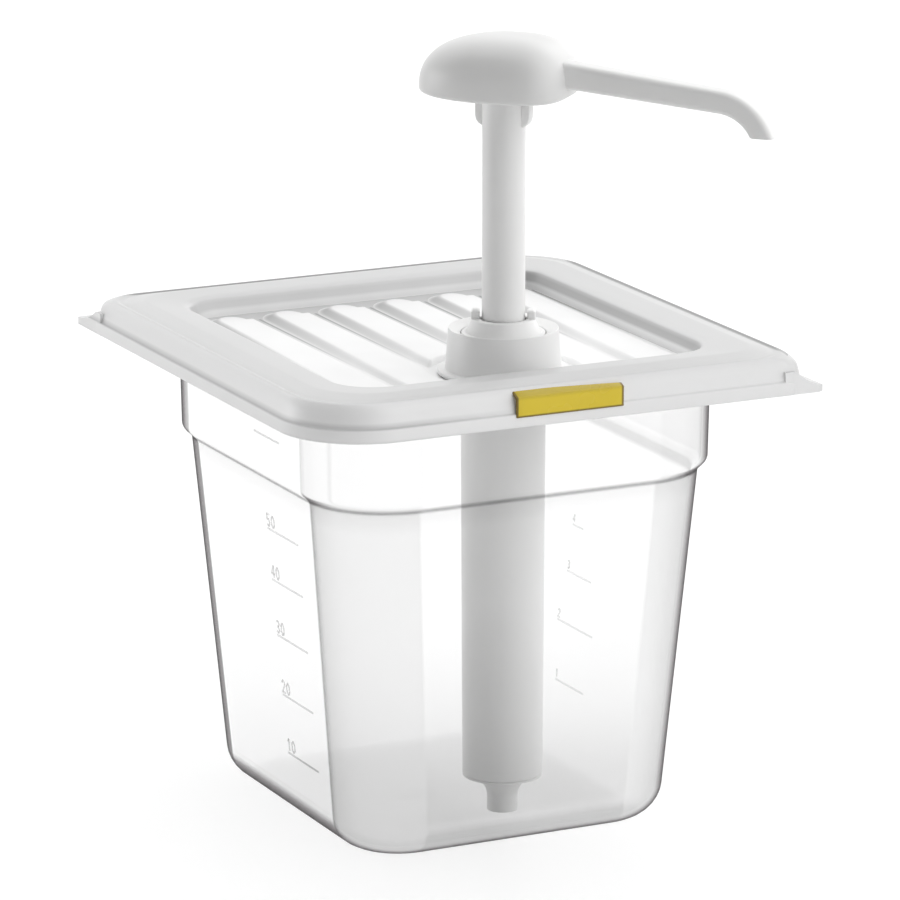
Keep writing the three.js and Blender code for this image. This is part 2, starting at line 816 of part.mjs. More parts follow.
// The stem: a tube with two lugs just under the head that stop on the guide cap's claws
function stem() {
  const tube = ring(stemBore, stemRadius, stemBottom, stemTop);
  const shape = new THREE.Shape();
  shape.moveTo(stemBore + stemWall / 2, lugBottom);
  shape.lineTo(lugReach - lugCorner, lugBottom);
  shape.quadraticCurveTo(lugReach, lugBottom, lugReach, lugBottom + lugRamp);
  shape.lineTo(lugReach, lugTop - lugCorner);
  shape.lineTo(lugReach - lugCorner / 2, lugTop);
  shape.lineTo(stemBore + stemWall / 2, lugTop);
  shape.closePath();
  const geometry = new THREE.ExtrudeGeometry(shape, { depth: lugWidth, bevelEnabled: false, curveSegments: cornerSteps });
  geometry.translate(0, 0, -lugWidth / 2);
  geometry.rotateX(Math.PI / 2);
  const lug = solidOf(geometry);
  return tube.add(lug).add(lug.rotate([0, 0, 180]));
}

// The piston: a socket for the stem on top, the outlet ball's seat, two seal grooves and a spigot below
function piston() {
  const groove = sealInner - seatGap;
  const upperSealBottom = seatEdge - pistonSeatRise - sealHeight - sealSideGap * 2;
  const middleLandBottom = upperSealBottom - landHeight;
  const port = pistonPortRadius;
  return turned(
    [
      [port, spigotBottom],
      [spigotRadius, spigotBottom],
      [spigotRadius, pistonLower],
      [groove, pistonLower],
      [groove, middleLandBottom],
      [pistonSideRadius, middleLandBottom],
      [pistonSideRadius, upperSealBottom],
      [groove, upperSealBottom],
      [groove, seatEdge - pistonSeatRise],
      [pistonSideRadius, seatEdge - pistonSeatRise],
      [pistonSideRadius, seatEdge],
      [stemRadius + runningGap + bushWall, seatEdge + pistonSeatRise],
      [stemRadius + runningGap + bushWall, seatEdge + pistonTopRise],
      [stemRadius + seatGap, seatEdge + pistonTopRise],
      [stemRadius + seatGap, seatEdge],
      [port, seatEdge],
      [port, spigotBottom],
    ],
    hiddenSides,
  );
}

// A lip seal: a ring with a sprung lip that leans on the bore, the lip pointing to one side
function lipSeal(bottom, lipUp) {
  const top = bottom + sealHeight;
  const outer = boreRadius - seatGap;
  const lip = sealDepth / 3;
  const profile = [
    [sealInner, bottom],
    [outer - lip, bottom],
    [outer, bottom + sealHeight / 2],
    [outer, top],
    [outer - lip, top],
    [outer - lip * 1.5, bottom + sealHeight / 2],
    [sealInner, bottom + sealHeight / 2],
    [sealInner, bottom],
  ];
  const made = turned(profile, hiddenSides);
  return lipUp ? made : made.mirror([0, 0, 1]).translate([0, 0, bottom + top]);
}

function pistonRetainer() {
  const top = pistonLower - seatGap;
  return ring(spigotRadius + seatGap, pistonSideRadius, top - retainerHeight + seatGap, top, hiddenSides);
}

function thrustWasher() {
  return ring(thrustHoleRadius, pistonSideRadius, thrustBottom, thrustTop, hiddenSides);
}

// A valve ball
function ball(radius, height) {
  const sphere = new THREE.SphereGeometry(radius, ballRings * 2, ballRings);
  sphere.rotateX(Math.PI / 2);
  sphere.translate(0, 0, height);
  return solidOf(sphere);
}

// A cross that lets sauce past and stops the ball below it
function ballCross(reach, bottom, height) {
  const bar = block(-reach, -crossBarWidth / 2, bottom, reach, crossBarWidth / 2, bottom + height);
  return bar.add(bar.rotate([0, 0, 90]));
}

function outletBallStop() {
  const bottom = outletBallHeight + outletBallRadius + outletBallLift + ballPlay;
  const inner = stemBore - seatGap;
  const rim = ring(inner - crossBarWidth / 2, inner, bottom, bottom + crossHeight, hiddenSides);
  return rim.add(ballCross(inner - crossBarWidth / 4, bottom, crossHeight));
}

// The inlet foot: a spigot in the cylinder, a trumpet-shaped wall, the ball's seat and the suction neck
function inletFoot() {
  const rimTop = cylinderBottom - seatGap;
  const rimBottom = rimTop - footRimHeight;
  const spigot = boreRadius - seatGap;
  const groove = spigot - footSealDepth;
  const grooveBottom = rimTop + seatGap * 2;
  const trumpet = [];
  for (let step = 0; step <= trumpetSteps; step++) {
    const angle = ((step / trumpetSteps) * Math.PI) / 2;
    const radius = neckRadius + (cylinderEndRadius - neckRadius) * (1 - Math.cos(angle));
    const height = trumpetBottom + (rimBottom - trumpetBottom) * Math.sin(angle);
    trumpet.push([radius, height]);
  }
  return turned([
    [neckBoreRadius, neckBottom],
    [neckRadius, neckBottom],
    ...trumpet,
    [cylinderEndRadius, rimTop],
    [groove, rimTop],
    [groove, grooveBottom + footSealHeight],
    [spigot, grooveBottom + footSealHeight],
    [spigot, footTop],
    [chamberRadius, footTop],
    [chamberRadius, footSeatHeight],
    [neckBoreRadius, footSeatHeight],
    [neckBoreRadius, neckBottom],
  ]);
}

function inletFootSeal() {
  const spigot = boreRadius - seatGap;
  const bottom = cylinderBottom + seatGap;
  return ring(spigot - footSealDepth + seatGap, spigot, bottom, bottom + footSealHeight - seatGap, hiddenSides);
}

// The cage over the inlet ball, which the return spring stands on
function inletBallCage() {
  const rim = ring(chamberRadius, boreRadius - seatGap, cageBottom, cageTop, hiddenSides);
  return rim.add(ballCross(chamberRadius + crossBarWidth / 2, cageBottom, cageHeight));
}

// The least gap between one turn of a coil and the next, measured on the points of its middle line
function leastCoilGap(middles, stepsPerTurn, thickness) {
  let least = Infinity;
  for (let i = 0; i < middles.length; i++) {
    for (let j = i + stepsPerTurn / 2; j < middles.length; j++) {
      least = Math.min(least, middles[i].distanceTo(middles[j]) - thickness);
    }
  }
  return least;
}

// The return spring: one unbroken tube round a helix
function returnSpring() {
  const wireRadius = springWire / 2;
  const bottom = springBottom + wireRadius;
  const rise = springTop - springBottom - springWire;
  const steps = springTurns * springSidesPerTurn;
  const rings = [];
  for (let step = 0; step <= steps; step++) {
    const angle = (step / springSidesPerTurn) * Math.PI * 2;
    const height = bottom + (rise * step) / steps;
    const section = [];
    for (let side = 0; side < wireSides; side++) {
      const around = (side / wireSides) * Math.PI * 2;
      const radius = springRadius + wireRadius * Math.cos(around);
      section.push(
        new THREE.Vector3(
          radius * Math.cos(angle),
          radius * Math.sin(angle),
          height - wireRadius * Math.sin(around),
        ),
      );
    }
    rings.push(section);
  }
  const gap = leastCoilGap(rings.map(middleOf), springSidesPerTurn, springWire);
  console.log(`return spring: least gap between turns ${gap.toFixed(2)} mm`);
  return skin(rings);
}

// One ring of the head's dome at a share of its rise above the rim, moved in by inset and with its top sunk by sink.
// The dome leans back: its rear falls away early, and its front stays full until near the top and is squarer in plan.
function headRing(share, inset, sink = 0) {
  const rearPowerShare = 2.36;
  const otherPowerShare = 3.1;
  const rearPlanShare = 1.95;
  const frontPlanShare = 3.3;
  const reach = (full, power) => (full - inset) * (1 - share ** power) ** (1 / power);
  const rear = reach(headRearReach, rearPowerShare);
  const front = reach(headFrontReach, otherPowerShare);
  const side = reach(headHalfWidth, otherPowerShare);
  const rise = headHeight - headRimHeight - sink;
  const points = [];
  for (let step = 0; step < headSides; step++) {
    const angle = (step / headSides) * Math.PI * 2;
    const forward = Math.cos(angle);
    const aside = Math.sin(angle);
    const plan = 2 / (forward > 0 ? frontPlanShare : rearPlanShare);
    points.push(
      new THREE.Vector3(
        Math.sign(forward) * Math.abs(forward) ** plan * (forward > 0 ? front : rear),
        Math.sign(aside) * Math.abs(aside) ** plan * side,
        headBottom + headRimHeight + rise * share,
      ),
    );
  }
  return points;
}

// The dome's surface from its rim to its top, or the hollow under it
function dome(inset, sink) {
  const rings = [];
  for (let step = 0; step < headRings; step++) {
    const angle = ((step / headRings) * Math.PI) / 2;
    rings.push(headRing(Math.sin(angle), inset, sink));
  }
  const lastShare = 0.996;
  rings.push(headRing(lastShare, inset, sink));
  return rings;
}

// A ring of the spout's rounded section, square to its path
function spoutSection(centre, angle, height, width, corner) {
  const points = [];
  const across = new THREE.Vector3(0, 1, 0);
  const up = new THREE.Vector3(Math.sin(angle), 0, Math.cos(angle));
  const quarters = [
    [1, 1],
    [-1, 1],
    [-1, -1],
    [1, -1],
  ];
  const steps = 2;
  quarters.forEach(([sideAcross, sideUp], quarter) => {
    for (let step = 0; step <= steps; step++) {
      const turn = ((quarter + step / steps) * Math.PI) / 2;
      const offAcross = sideAcross * (width / 2 - corner) + corner * Math.cos(turn);
      const offUp = sideUp * (height / 2 - corner) + corner * Math.sin(turn);
      points.push(centre.clone().addScaledVector(across, offAcross).addScaledVector(up, offUp));
    }
  });
  return points;
}

// The middle of the spout's section at a reach along its straight run
function spoutPlace(reach) {
  const fall = Math.tan(THREE.MathUtils.degToRad(spoutDrop));
  return new THREE.Vector3(reach, 0, headBottom + spoutRootRise - (reach - spoutRootReach) * fall);
}

// Two upright stops on the straight run
function straightStops(from, to) {
  return [from, to].map((reach) => ({ centre: spoutPlace(reach), angle: 0 }));
}

// The stops of the spout's path from a reach: the straight run, then a bend down to the tip
function spoutStops(from) {
  const drop = THREE.MathUtils.degToRad(spoutDrop);
  const tip = THREE.MathUtils.degToRad(spoutTipAngle);
  const bendStart = spoutPlace(spoutBendReach);
  const stops = [
    { centre: spoutPlace(from), angle: 0 },
    { centre: bendStart, angle: drop },
  ];
  let centre = bendStart;
  for (let step = 1; step <= bendSteps; step++) {
    const angle = THREE.MathUtils.lerp(drop, tip, step / bendSteps);
    centre = new THREE.Vector3(
      bendStart.x + spoutBendRadius * (Math.sin(angle) - Math.sin(drop)),
      0,
      bendStart.z - spoutBendRadius * (Math.cos(drop) - Math.cos(angle)),
    );
    stops.push({ centre, angle });
  }
  const direction = new THREE.Vector3(Math.cos(tip), 0, -Math.sin(tip));
  stops.push({ centre: centre.clone().addScaledVector(direction, spoutTipLength), angle: tip });
  return stops;
}

// The spout's section at a stop, thinner or fatter than its outside by margin on each side
function sectionAt({ centre, angle }, margin) {
  const run = spoutBendReach + spoutBendRadius - spoutRootReach;
  const share = THREE.MathUtils.clamp((centre.x - spoutRootReach) / run, 0, 1);
  const height = THREE.MathUtils.lerp(spoutHeight, spoutTipHeight, share) + margin * 2;
  const width = THREE.MathUtils.lerp(spoutWidth, spoutTipWidth, share) + margin * 2;
  const corner = Math.max(spoutCorner + margin, spoutCorner / 3);
  return spoutSection(centre, angle, height, width, corner);
}

// A solid bar along some stops of the path
function spoutBar(stops, margin) {
  return skin(stops.map((stop) => sectionAt(stop, margin)));
}

// Everything below the level at which the spout's tip is cut off flat
function belowTip() {
  const level = headBottom + spoutTipRise;
  const reach = spoutBendReach + spoutBendRadius * 2;
  return block(-reach, -spoutWidth * 2, level - spoutBendRadius * 2, reach, spoutWidth * 2, level);
}

function pumpSpout() {
  const outside = spoutBar(spoutStops(spoutRootReach), 0);
  const channel = spoutBar(spoutStops(spoutRootReach - overrun), -spoutWall);
  return outside.subtract(channel).subtract(belowTip());
}

function spoutSeal() {
  const front = spoutRootReach - seatGap;
  const [back, fore] = straightStops(front - spoutSealLength, front);
  return skin(
    [sectionAt(back, -seatGap), sectionAt(fore, -seatGap), sectionAt(fore, -spoutWall), sectionAt(back, -spoutWall)],
    true,
  );
}

// A ring moved straight down
function lowered(points, drop) {
  return points.map((point) => point.clone().setZ(point.z - drop));
}

// The head: a thin dome open below, with a socket for the stem and a sleeve for the spout inside it
function pumpHead() {
  const easedRim = lowered(headRing(0, headRimInset / 3), headRimHeight * 2 / 3);
  const shell = skin([lowered(headRing(0, headRimInset), headRimHeight), easedRim, ...dome(0, 0)]);
  const hollowRim = headRing(0, headRimInset + overrun / 2);
  const hollow = skin([
    lowered(hollowRim, headRimHeight + overrun),
    lowered(hollowRim, headRimHeight / 2),
    ...dome(headWall + overrun / 2, headWall).slice(1),
  ]);
  const bossRadius = stemRadius + seatGap + socketWall;
  const bossBottom = headBottom + socketBottomRise;
  const bossTop = headBottom + socketTopRise;
  const boss = ring(0, bossRadius, bossBottom, bossTop);
  const socket = ring(0, stemRadius + seatGap, bossBottom - overrun, stemTop + seatGap);
  const flow = ring(0, flowRadius, stemTop, bossTop - headWall);
  const inShell = skin([lowered(headRing(0, headRimInset), headRimHeight), ...dome(headWall / 2, headWall / 2)]);
  const sleeve = spoutBar(straightStops(flowRadius, sleeveReach), seatGap + sleeveWall);
  const roomStart = spoutRootReach - seatGap * 2 - spoutSealLength;
  const spoutRoom = spoutBar(straightStops(roomStart, headFrontReach + overrun), seatGap);
  const flowWay = spoutBar(straightStops(0, roomStart + overrun), -spoutWall);
  return shell
    .subtract(hollow)
    .add(boss.add(sleeve).intersect(inShell))
    .subtract(socket)
    .subtract(flow)
    .subtract(spoutRoom)
    .subtract(flowWay);
}

const dispenser = new THREE.Group();
dispenser.add(piece("container", pan(), clearPlastic));
dispenser.add(piece("lid", lid(), milkyPlastic));
dispenser.add(piece("lid_gasket", lidGasket(), silicone));
dispenser.add(piece("colour_clip", colourClip(), yellowPlastic));

const pump = new THREE.Group();
pump.position.set(pumpX, pumpY, 0);
pump.add(piece("pump_cylinder", pumpCylinder(), whitePlastic));
pump.add(piece("cylinder_washer", cylinderWasher(), silicone));
pump.add(piece("collar_nut", collarNut(), whitePlastic));
pump.add(piece("guide_cap", guideCap(), whitePlastic));
pump.add(piece("stem_bush", stemBush(), whitePlastic));
pump.add(piece("stem_wiper", stemWiper(), silicone));
pump.add(piece("inlet_foot", inletFoot(), whitePlastic));
pump.add(piece("inlet_foot_seal", inletFootSeal(), silicone));
pump.add(piece("inlet_ball_cage", inletBallCage(), whitePlastic));
pump.add(piece("inlet_ball", ball(inletBallRadius, inletBallHeight), steel));
pump.add(piece("return_spring", returnSpring(), steel));
pump.add(piece("thrust_washer", thrustWasher(), whitePlastic));
dispenser.add(pump);

const plunger = new THREE.Group();
plunger.rotation.z = THREE.MathUtils.degToRad(spoutTurn);
plunger.add(piece("stem", stem(), whitePlastic));
plunger.add(piece("piston", piston(), whitePlastic));
plunger.add(piece("upper_piston_seal", lipSeal(seatEdge - pistonSeatRise - sealSideGap - sealHeight, true), silicone));
plunger.add(piece("lower_piston_seal", lipSeal(pistonLower + sealSideGap, false), silicone));
plunger.add(piece("piston_retainer", pistonRetainer(), whitePlastic));
plunger.add(piece("outlet_ball", ball(outletBallRadius, outletBallHeight), steel));
plunger.add(piece("outlet_ball_stop", outletBallStop(), whitePlastic));
plunger.add(piece("pump_head", pumpHead(), whitePlastic));
plunger.add(piece("pump_spout", pumpSpout(), whitePlastic));
plunger.add(piece("spout_seal", spoutSeal(), silicone));
pump.add(plunger);

export default dispenser;
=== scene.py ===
# Looks of the sauce dispenser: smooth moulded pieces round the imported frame, finishes, light and camera.
# Lengths are millimetres until a mesh is made, and the heights and radii are those of the frame's solids.
import math

import bpy
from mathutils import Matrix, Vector


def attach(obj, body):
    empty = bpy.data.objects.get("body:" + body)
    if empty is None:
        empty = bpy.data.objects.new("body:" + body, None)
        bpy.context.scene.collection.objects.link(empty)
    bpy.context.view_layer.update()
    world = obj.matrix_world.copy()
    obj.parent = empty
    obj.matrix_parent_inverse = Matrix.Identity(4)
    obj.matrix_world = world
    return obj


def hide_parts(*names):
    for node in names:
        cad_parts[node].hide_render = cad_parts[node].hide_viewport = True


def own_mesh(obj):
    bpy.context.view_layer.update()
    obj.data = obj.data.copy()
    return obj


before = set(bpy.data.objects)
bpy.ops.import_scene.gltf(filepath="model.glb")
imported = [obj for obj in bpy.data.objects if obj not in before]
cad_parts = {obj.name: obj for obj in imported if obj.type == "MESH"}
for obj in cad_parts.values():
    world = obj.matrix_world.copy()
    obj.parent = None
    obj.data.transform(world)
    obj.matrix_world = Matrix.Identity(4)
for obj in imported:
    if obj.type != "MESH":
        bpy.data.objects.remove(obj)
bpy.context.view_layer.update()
MM = 0.001

# Sides of a round piece
SIDES = 96
# Points set on each flat just past a corner keep the flat's shading flat
FLAT_SUPPORT = 0.8
# A softened corner takes at most this share of the lines beside it, and none where it would be tiny
CURVE_SHARE = 0.45
LEAST_CURVE = 0.02

# Pan
PAN_DEPTH = 150
PAN_WALL = 2.2
PAN_FLOOR = 2.4
MOUTH_X = 69.8
MOUTH_Y = 72.6
MOUTH_RADIUS = 29.5
BAND_DRAFT = 0.6
SHOULDER = 115.4
SHOULDER_RISE = 3
SHOULDER_STEP = 3.1
TAPER_X = 10.1
TAPER_Y = 8.3
TAPER_RADIUS = 3.8
BASE_FILLET = 10.5
RIM_X = 81.5
RIM_Y = 85.8
RIM_RADIUS = 24.55
RIM_THICK = 2.2
RIM_LIP = 5.5
RIM_LIP_THICK = 1.8
PAN_SOFT = 1.1
PAN_UNDER_RIM = PAN_DEPTH - RIM_THICK
LOW_X = MOUTH_X - BAND_DRAFT - SHOULDER_STEP

# Marks: a digit's pitch and width are shares of its height
MARK_WIDTH = 0.6
MARK_PROUD = 0.12
MARK_SUNK = 0.1
DIGIT_PITCH = 0.85
DIGIT_WIDTH = 0.55
DIGIT_GAP = 0.9
LEFT_DIGITS = 4
LEFT_LINE = (-8, -31)
BAND_LINE = (-9, -28)
BAND_LEVEL = 131
RIGHT_DIGITS = 2.6

# Lid: a pair is an inset from the lid's lower edge and a height above it
LID_X = 84.5
LID_Y = 88.8
LID_BOTTOM = 143.8
LID_RADIUS = 27
LID_WALL = 1.9
LID_CEILING = 10
CEILING_STEP = 0.5
LID_SOFT = 0.9
SKIRT_FLANGE = (0, 4.3)
SKIRT_CREASE = (0.8, 4.7)
SKIRT_TOP = (1.9, 9.1)
FRAME_EDGE = (2.6, 10.7)
FRAME_CREST = (3.7, 12.1)
FRAME_GROOVE = (5.3, 11.4)
FRAME_RIDGE = (6.9, 12.05)
FRAME_CROWN = (11, 13)
RECESS_X = 62.9
RECESS_Y = 67.2
RECESS_RADIUS = 14
RECESS_DRAFT = 1.9
RECESS_ROUND = 0.8
RECESS_LIP = (1.6, 12.45)
RECESS_EDGE = 11.7
PANEL_HEIGHT = 6
PANEL_TOP = LID_BOTTOM + PANEL_HEIGHT
PANEL_RADIUS = 12
PUMP_HOLE = 15.05

# Pull tabs
TAB_CORNER = 7
EDGE_TAB_CORNER = 5.9
FRAME_TAB_CORNER = 12
REAR_TAB = 12.6
FRONT_TAB = 5.2
TAB_RUN = 21
TAB_TAIL = 12
TAB_TIP = 2.2
TAB_INSET = 0.2
TAB_THICK = 3.3
TAB_THIN = 1.2
WEB_HEIGHT = 4.2
WEB_ROOT = 5
WEB_START = 3

# Tongues, which end short of the recess's walls and leave the collar nut's place plain
TONGUES = 6
TONGUE_PITCH = 19.8
TONGUE_HALF = 8.7
TONGUE_ARCH = 11
TONGUE_RISE = 1.7
TONGUE_GAP = 2.2
TONGUE_DIP = 0.25
REAR_SLOPE = 5.2
SLOPE_LOSS = 3.4
RIGHT_SLOPE = 2.2
PLAIN_RADIUS = 24
PLAIN_EDGE = 1.2
SHEET_X = TONGUES / 2 * TONGUE_PITCH
SHEET_MARGIN = 0.5
SHEET_SINK = 0.05

# Clip
CLIP_LEFT = -17.9
CLIP_RIGHT = 18.8
CLIP_FACE = -89.2
CLIP_THICK = 1
CLIP_BOTTOM = LID_BOTTOM + 3.3
CLIP_BEND = LID_BOTTOM + 9.6
CLIP_LIP = 4.2
CLIP_LIP_CUT = 2.2
CLIP_LIP_RISE = 1.8
CLIP_SOFT = 0.3

# Pump: cylinder, collar nut, guide cap with its claws, and foot
PUMP_X = 0
PUMP_Y = -44
SPOUT_TURN = math.radians(-45.9)
CLAW_TURN = math.radians(-28)
BORE = 11.6
CYLINDER_END = 12.7
CYLINDER_RADIUS = 13.3
CYLINDER_BOTTOM = 20
NECK_TOP = 159
FLANGE_RADIUS = 18.5
FLANGE_TOP = 146.3
FLANGE_BOTTOM = FLANGE_TOP - 2
COLLAR_BORE = 14.9
COLLAR_FOOT = 20.6
COLLAR_LOW = 18.2
COLLAR_HIGH = 17.2
COLLAR_BOTTOM = 150.1
COLLAR_FOOT_TOP = COLLAR_BOTTOM + 1.3
COLLAR_TOP = 164.5
DISH_RADIUS = 13.4
DISH_FLOOR = COLLAR_TOP - 1.6
DISH_UNDER = COLLAR_TOP - 3.3
CAP_BORE = 9.35
CAP_SLEEVE = 11.3
CAP_BOTTOM = 137.1
CAP_FLANGE = 14.6
CAP_FLANGE_BOTTOM = NECK_TOP + 0.3
CAP_FLANGE_TOP = NECK_TOP + 1.9
CAP_WAIST = 13.1
CAP_TOP = 167.3
CAP_ROOF = CAP_TOP - 4
CAP_MOUTH = 7.35
CONE_BOTTOM = CAP_TOP - 4.4
CONE_LOW = 11.8
CONE_HIGH = 9.6
WIPER_SEAT = 8.35
WIPER_TOP = CAP_TOP - 0.9
WIPER_BOTTOM = CAP_TOP - 3.1
CLAW_INSIDE = 7.4
CLAW_OUTSIDE = 10
CLAW_HALF = 2.3
CLAW_HEIGHT = 2.7
CLAW_BEVEL = 0.45
FOOT_BORE = 3.4
FOOT_NECK = 4.9
FOOT_BOTTOM = 7.5
TRUMPET_BOTTOM = 12
TRUMPET_RISE = 7.2
TRUMPET_STEPS = 12
FOOT_SHOULDER = 19.9
SEAL_SEAT = 9.7
SEAL_TOP = 22.1
FOOT_PLUG = 11.3
FOOT_TOP = 26.57
BALL_BORE = 5.2
BALL_SEAT = 16.3

# Spring
SPRING_RADIUS = 9.4
SPRING_WIRE = 1.5
SPRING_TURNS = 12
SPRING_BOTTOM = 29.2025
SPRING_TOP = 108.063
SPRING_LENGTH = SPRING_TOP - SPRING_BOTTOM

# Stem and head
STEM_RADIUS = 6.75
STEM_BORE = 4.65
STEM_BOTTOM = 128.1
STEM_TOP = 242.8
LUG_ROOT = 5.2
LUG_REACH = 8.9
LUG_HALF = 2.1
LUG_BOTTOM = 228
LUG_RAMP = 3
LUG_TOP = 236.8
HEAD_BOTTOM = 237.9
HEAD_HEIGHT = 18.5
HEAD_REAR = 27.1
HEAD_FRONT = 21.5
HEAD_SIDE = 19.4
REAR_POWER = 2.36
FRONT_POWER = 3.1
REAR_PLAN_POWER = 1.95
FRONT_PLAN_POWER = 3.3
HEAD_WALL = 2
HEAD_LIP = 0.5
HEAD_RIM_INSET = 1.6
HEAD_RIM_HEIGHT = 1.4
BOSS_BORE = 7.05
BOSS_RADIUS = 9.45
BOSS_BOTTOM = HEAD_BOTTOM + 0.6
BOSS_TOP = HEAD_BOTTOM + 14

# Spout: a reach is measured from the pump's axis
SPOUT_ROOT = 11.8
SPOUT_RISE = 8.3
SPOUT_DROP = math.radians(6)
SPOUT_BEND = 70
SPOUT_BEND_RADIUS = 16
SPOUT_TIP_ANGLE = math.radians(62)
SPOUT_TIP_LEVEL = HEAD_BOTTOM - 8
SPOUT_WALL = 1.2
SPOUT_HEIGHT = 8.3
SPOUT_WIDTH = 8.6
TIP_HEIGHT = 6.6
TIP_WIDTH = 7.6
SPOUT_CORNER = 1.9
LEAST_CORNER = 0.6
SLEEVE_ENDS = (5.5, 18)
SLEEVE_WALL = 1.4
SLEEVE_PLAY = 0.3


def softened(profile, reach, steps=4, closed=False):
    """A polyline with each corner made a small curve; the first two numbers of a point are its place."""
    made = []
    count = len(profile)
    for i, here in enumerate(profile):
        if not closed and i in (0, count - 1):
            made.append(tuple(here))
            continue
        before, after = profile[i - 1], profile[(i + 1) % count]
        back = math.dist(before[:2], here[:2])
        ahead = math.dist(here[:2], after[:2])
        curve = min(reach, back * CURVE_SHARE, ahead * CURVE_SHARE)
        if curve < LEAST_CURVE:
            made.append(tuple(here))
            continue
        start = [h + (b - h) * curve / back for h, b in zip(here, before)]
        end = [h + (a - h) * curve / ahead for h, a in zip(here, after)]
        for k in range(steps + 1):
            t = k / steps
            shares = (1 - t) ** 2, 2 * t * (1 - t), t**2
            triples = zip(start, here, end)
            made.append(tuple(sum(n * share for n, share in zip(triple, shares)) for triple in triples))
    return made


def smooth(t):
    t = min(1.0, max(0.0, t))
    return t * t * (3 - 2 * t)


def rounded(half_x, half_y, z, radius, tab_radius=None, steps=14, support=False):
    """A rounded rectangle from above; its rear-left and front-right corners can take their own radius."""
    tab_radius = radius if tab_radius is None else tab_radius
    corners = [(1, 1, radius), (-1, 1, tab_radius), (-1, -1, radius), (1, -1, tab_radius)]
    points = []
    for quarter, (side_x, side_y, r) in enumerate(corners):
        for step in range(steps + 1):
            a = (quarter + step / steps) * math.pi / 2
            x, y = side_x * (half_x - r) + r * math.cos(a), side_y * (half_y - r) + r * math.sin(a)
            along = (FLAT_SUPPORT * math.sin(a), -FLAT_SUPPORT * math.cos(a))
            if support and step == 0:
                points.append((x + along[0], y + along[1], z))
            points.append((x, y, z))
            if support and step == steps:
                points.append((x - along[0], y - along[1], z))
    return points


def skin(rings, closed=False, start_cap=True):
    """Quads between rings in order, and a face over each end; closed joins the last ring to the first."""
    count = len(rings[0])
    points = [p for ring in rings for p in ring]
    faces = []
    for k in range(len(rings) if closed else len(rings) - 1):
        low, high = k * count, (k + 1) % len(rings) * count
        for i in range(count):
            j = (i + 1) % count
            faces.append((low + i, low + j, high + j, high + i))
    if not closed:
        if start_cap:
            faces.append(tuple(reversed(range(count))))
        faces.append(tuple(range((len(rings) - 1) * count, len(rings) * count)))
    return points, faces


def lathe(profile, soft, steps=4):
    """A turned piece from the (radius, height) pairs of its section, with the corners softened."""
    angles = [2 * math.pi * i / SIDES for i in range(SIDES)]
    section = softened(profile, soft, steps, closed=True)
    return skin([[(r * math.cos(a), r * math.sin(a), z) for a in angles] for r, z in section], closed=True)


def tube(bore, radius, bottom, top, steps=4):
    return lathe([(bore, bottom), (radius, bottom), (radius, top), (bore, top)], 0.4, steps)


def moved(shape, turn, x=0, y=0):
    """A shape turned about the upright axis, then moved."""
    c, s = math.cos(turn), math.sin(turn)
    return [(px * c - py * s + x, px * s + py * c + y, pz) for px, py, pz in shape[0]], shape[1]


def joined(*parts):
    points, faces = [], []
    for some_points, some_faces in parts:
        base = len(points)
        points += some_points
        faces += [tuple(i + base for i in face) for face in some_faces]
    return points, faces


def piece(name, shape, material, body, replaces=(), crease=38, inner=None, inner_from=0):
    """A smooth-shaded mesh that rides on a body of the frame; edges past the crease angle stay sharp.

    Its faces from inner_from on take the inner finish."""
    points, faces = shape
    mesh = bpy.data.meshes.new(name)
    mesh.from_pydata([tuple(c * MM for c in p) for p in points], [], faces)
    mesh.validate()
    mesh.materials.append(material)
    if inner:
        mesh.materials.append(inner)
        mesh.polygons.foreach_set("material_index", [int(k >= inner_from) for k in range(len(mesh.polygons))])
    mesh.polygons.foreach_set("use_smooth", [True] * len(mesh.polygons))
    mesh.set_sharp_from_angle(angle=math.radians(crease))
    obj = bpy.data.objects.new(name, mesh)
    bpy.context.scene.collection.objects.link(obj)
    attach(obj, body)
    if replaces:
        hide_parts(*replaces)
    return obj


# Finishes: a colour that is one number is a grey, and a sum finds its node tree from its sockets


def blank(name):
    material = bpy.data.materials.new(name)
    material.use_nodes = True
    material.node_tree.nodes.clear()
    return material, material.node_tree


def node(tree, kind, inputs=(), **settings):
    """A node of a kind; each of its inputs takes a socket, which is linked to it, or a plain value."""
    made = tree.nodes.new(kind)
    for key, value in settings.items():
        setattr(made, key, value)
    for key, value in dict(inputs).items():
        if isinstance(value, bpy.types.NodeSocket):
            tree.links.new(value, made.inputs[key])
        else:
            made.inputs[key].default_value = value
    return made


def show(shader):
    node(shader.id_data, "ShaderNodeOutputMaterial", {"Surface": shader.outputs[0]})


def rgba(colour):
    return (*colour, 1) if isinstance(colour, tuple) else (colour, colour, colour, 1)


def blend(factor, first, second):
    """The first colour where the factor is 0, and the second where it is 1."""
    inputs = {0: factor, 6: first, 7: second}
    return node(factor.id_data, "ShaderNodeMix", inputs, data_type="RGBA").outputs[2]


def noise(tree, scale, detail=2.0):
    place = node(tree, "ShaderNodeTexCoord").outputs["Object"]
    made = node(tree, "ShaderNodeTexNoise", {"Vector": place, "Scale": scale, "Detail": detail})
    return made.outputs["Fac"]


def ramp(value, stops):
    """A colour by a number from 0 to 1."""
    made = node(value.id_data, "ShaderNodeValToRGB", {"Fac": value})
    elements = made.color_ramp.elements
    while len(elements) < len(stops):
        elements.new(0.5)
    for element, (position, colour) in zip(elements, stops):
        element.position = position
        element.color = rgba(colour)
    return made.outputs["Color"]


def spread(value, low, high):
    """Low where the value is 0, and high where it is 1."""
    inputs = {"Value": value, "To Min": low, "To Max": high}
    return node(value.id_data, "ShaderNodeMapRange", inputs).outputs[0]


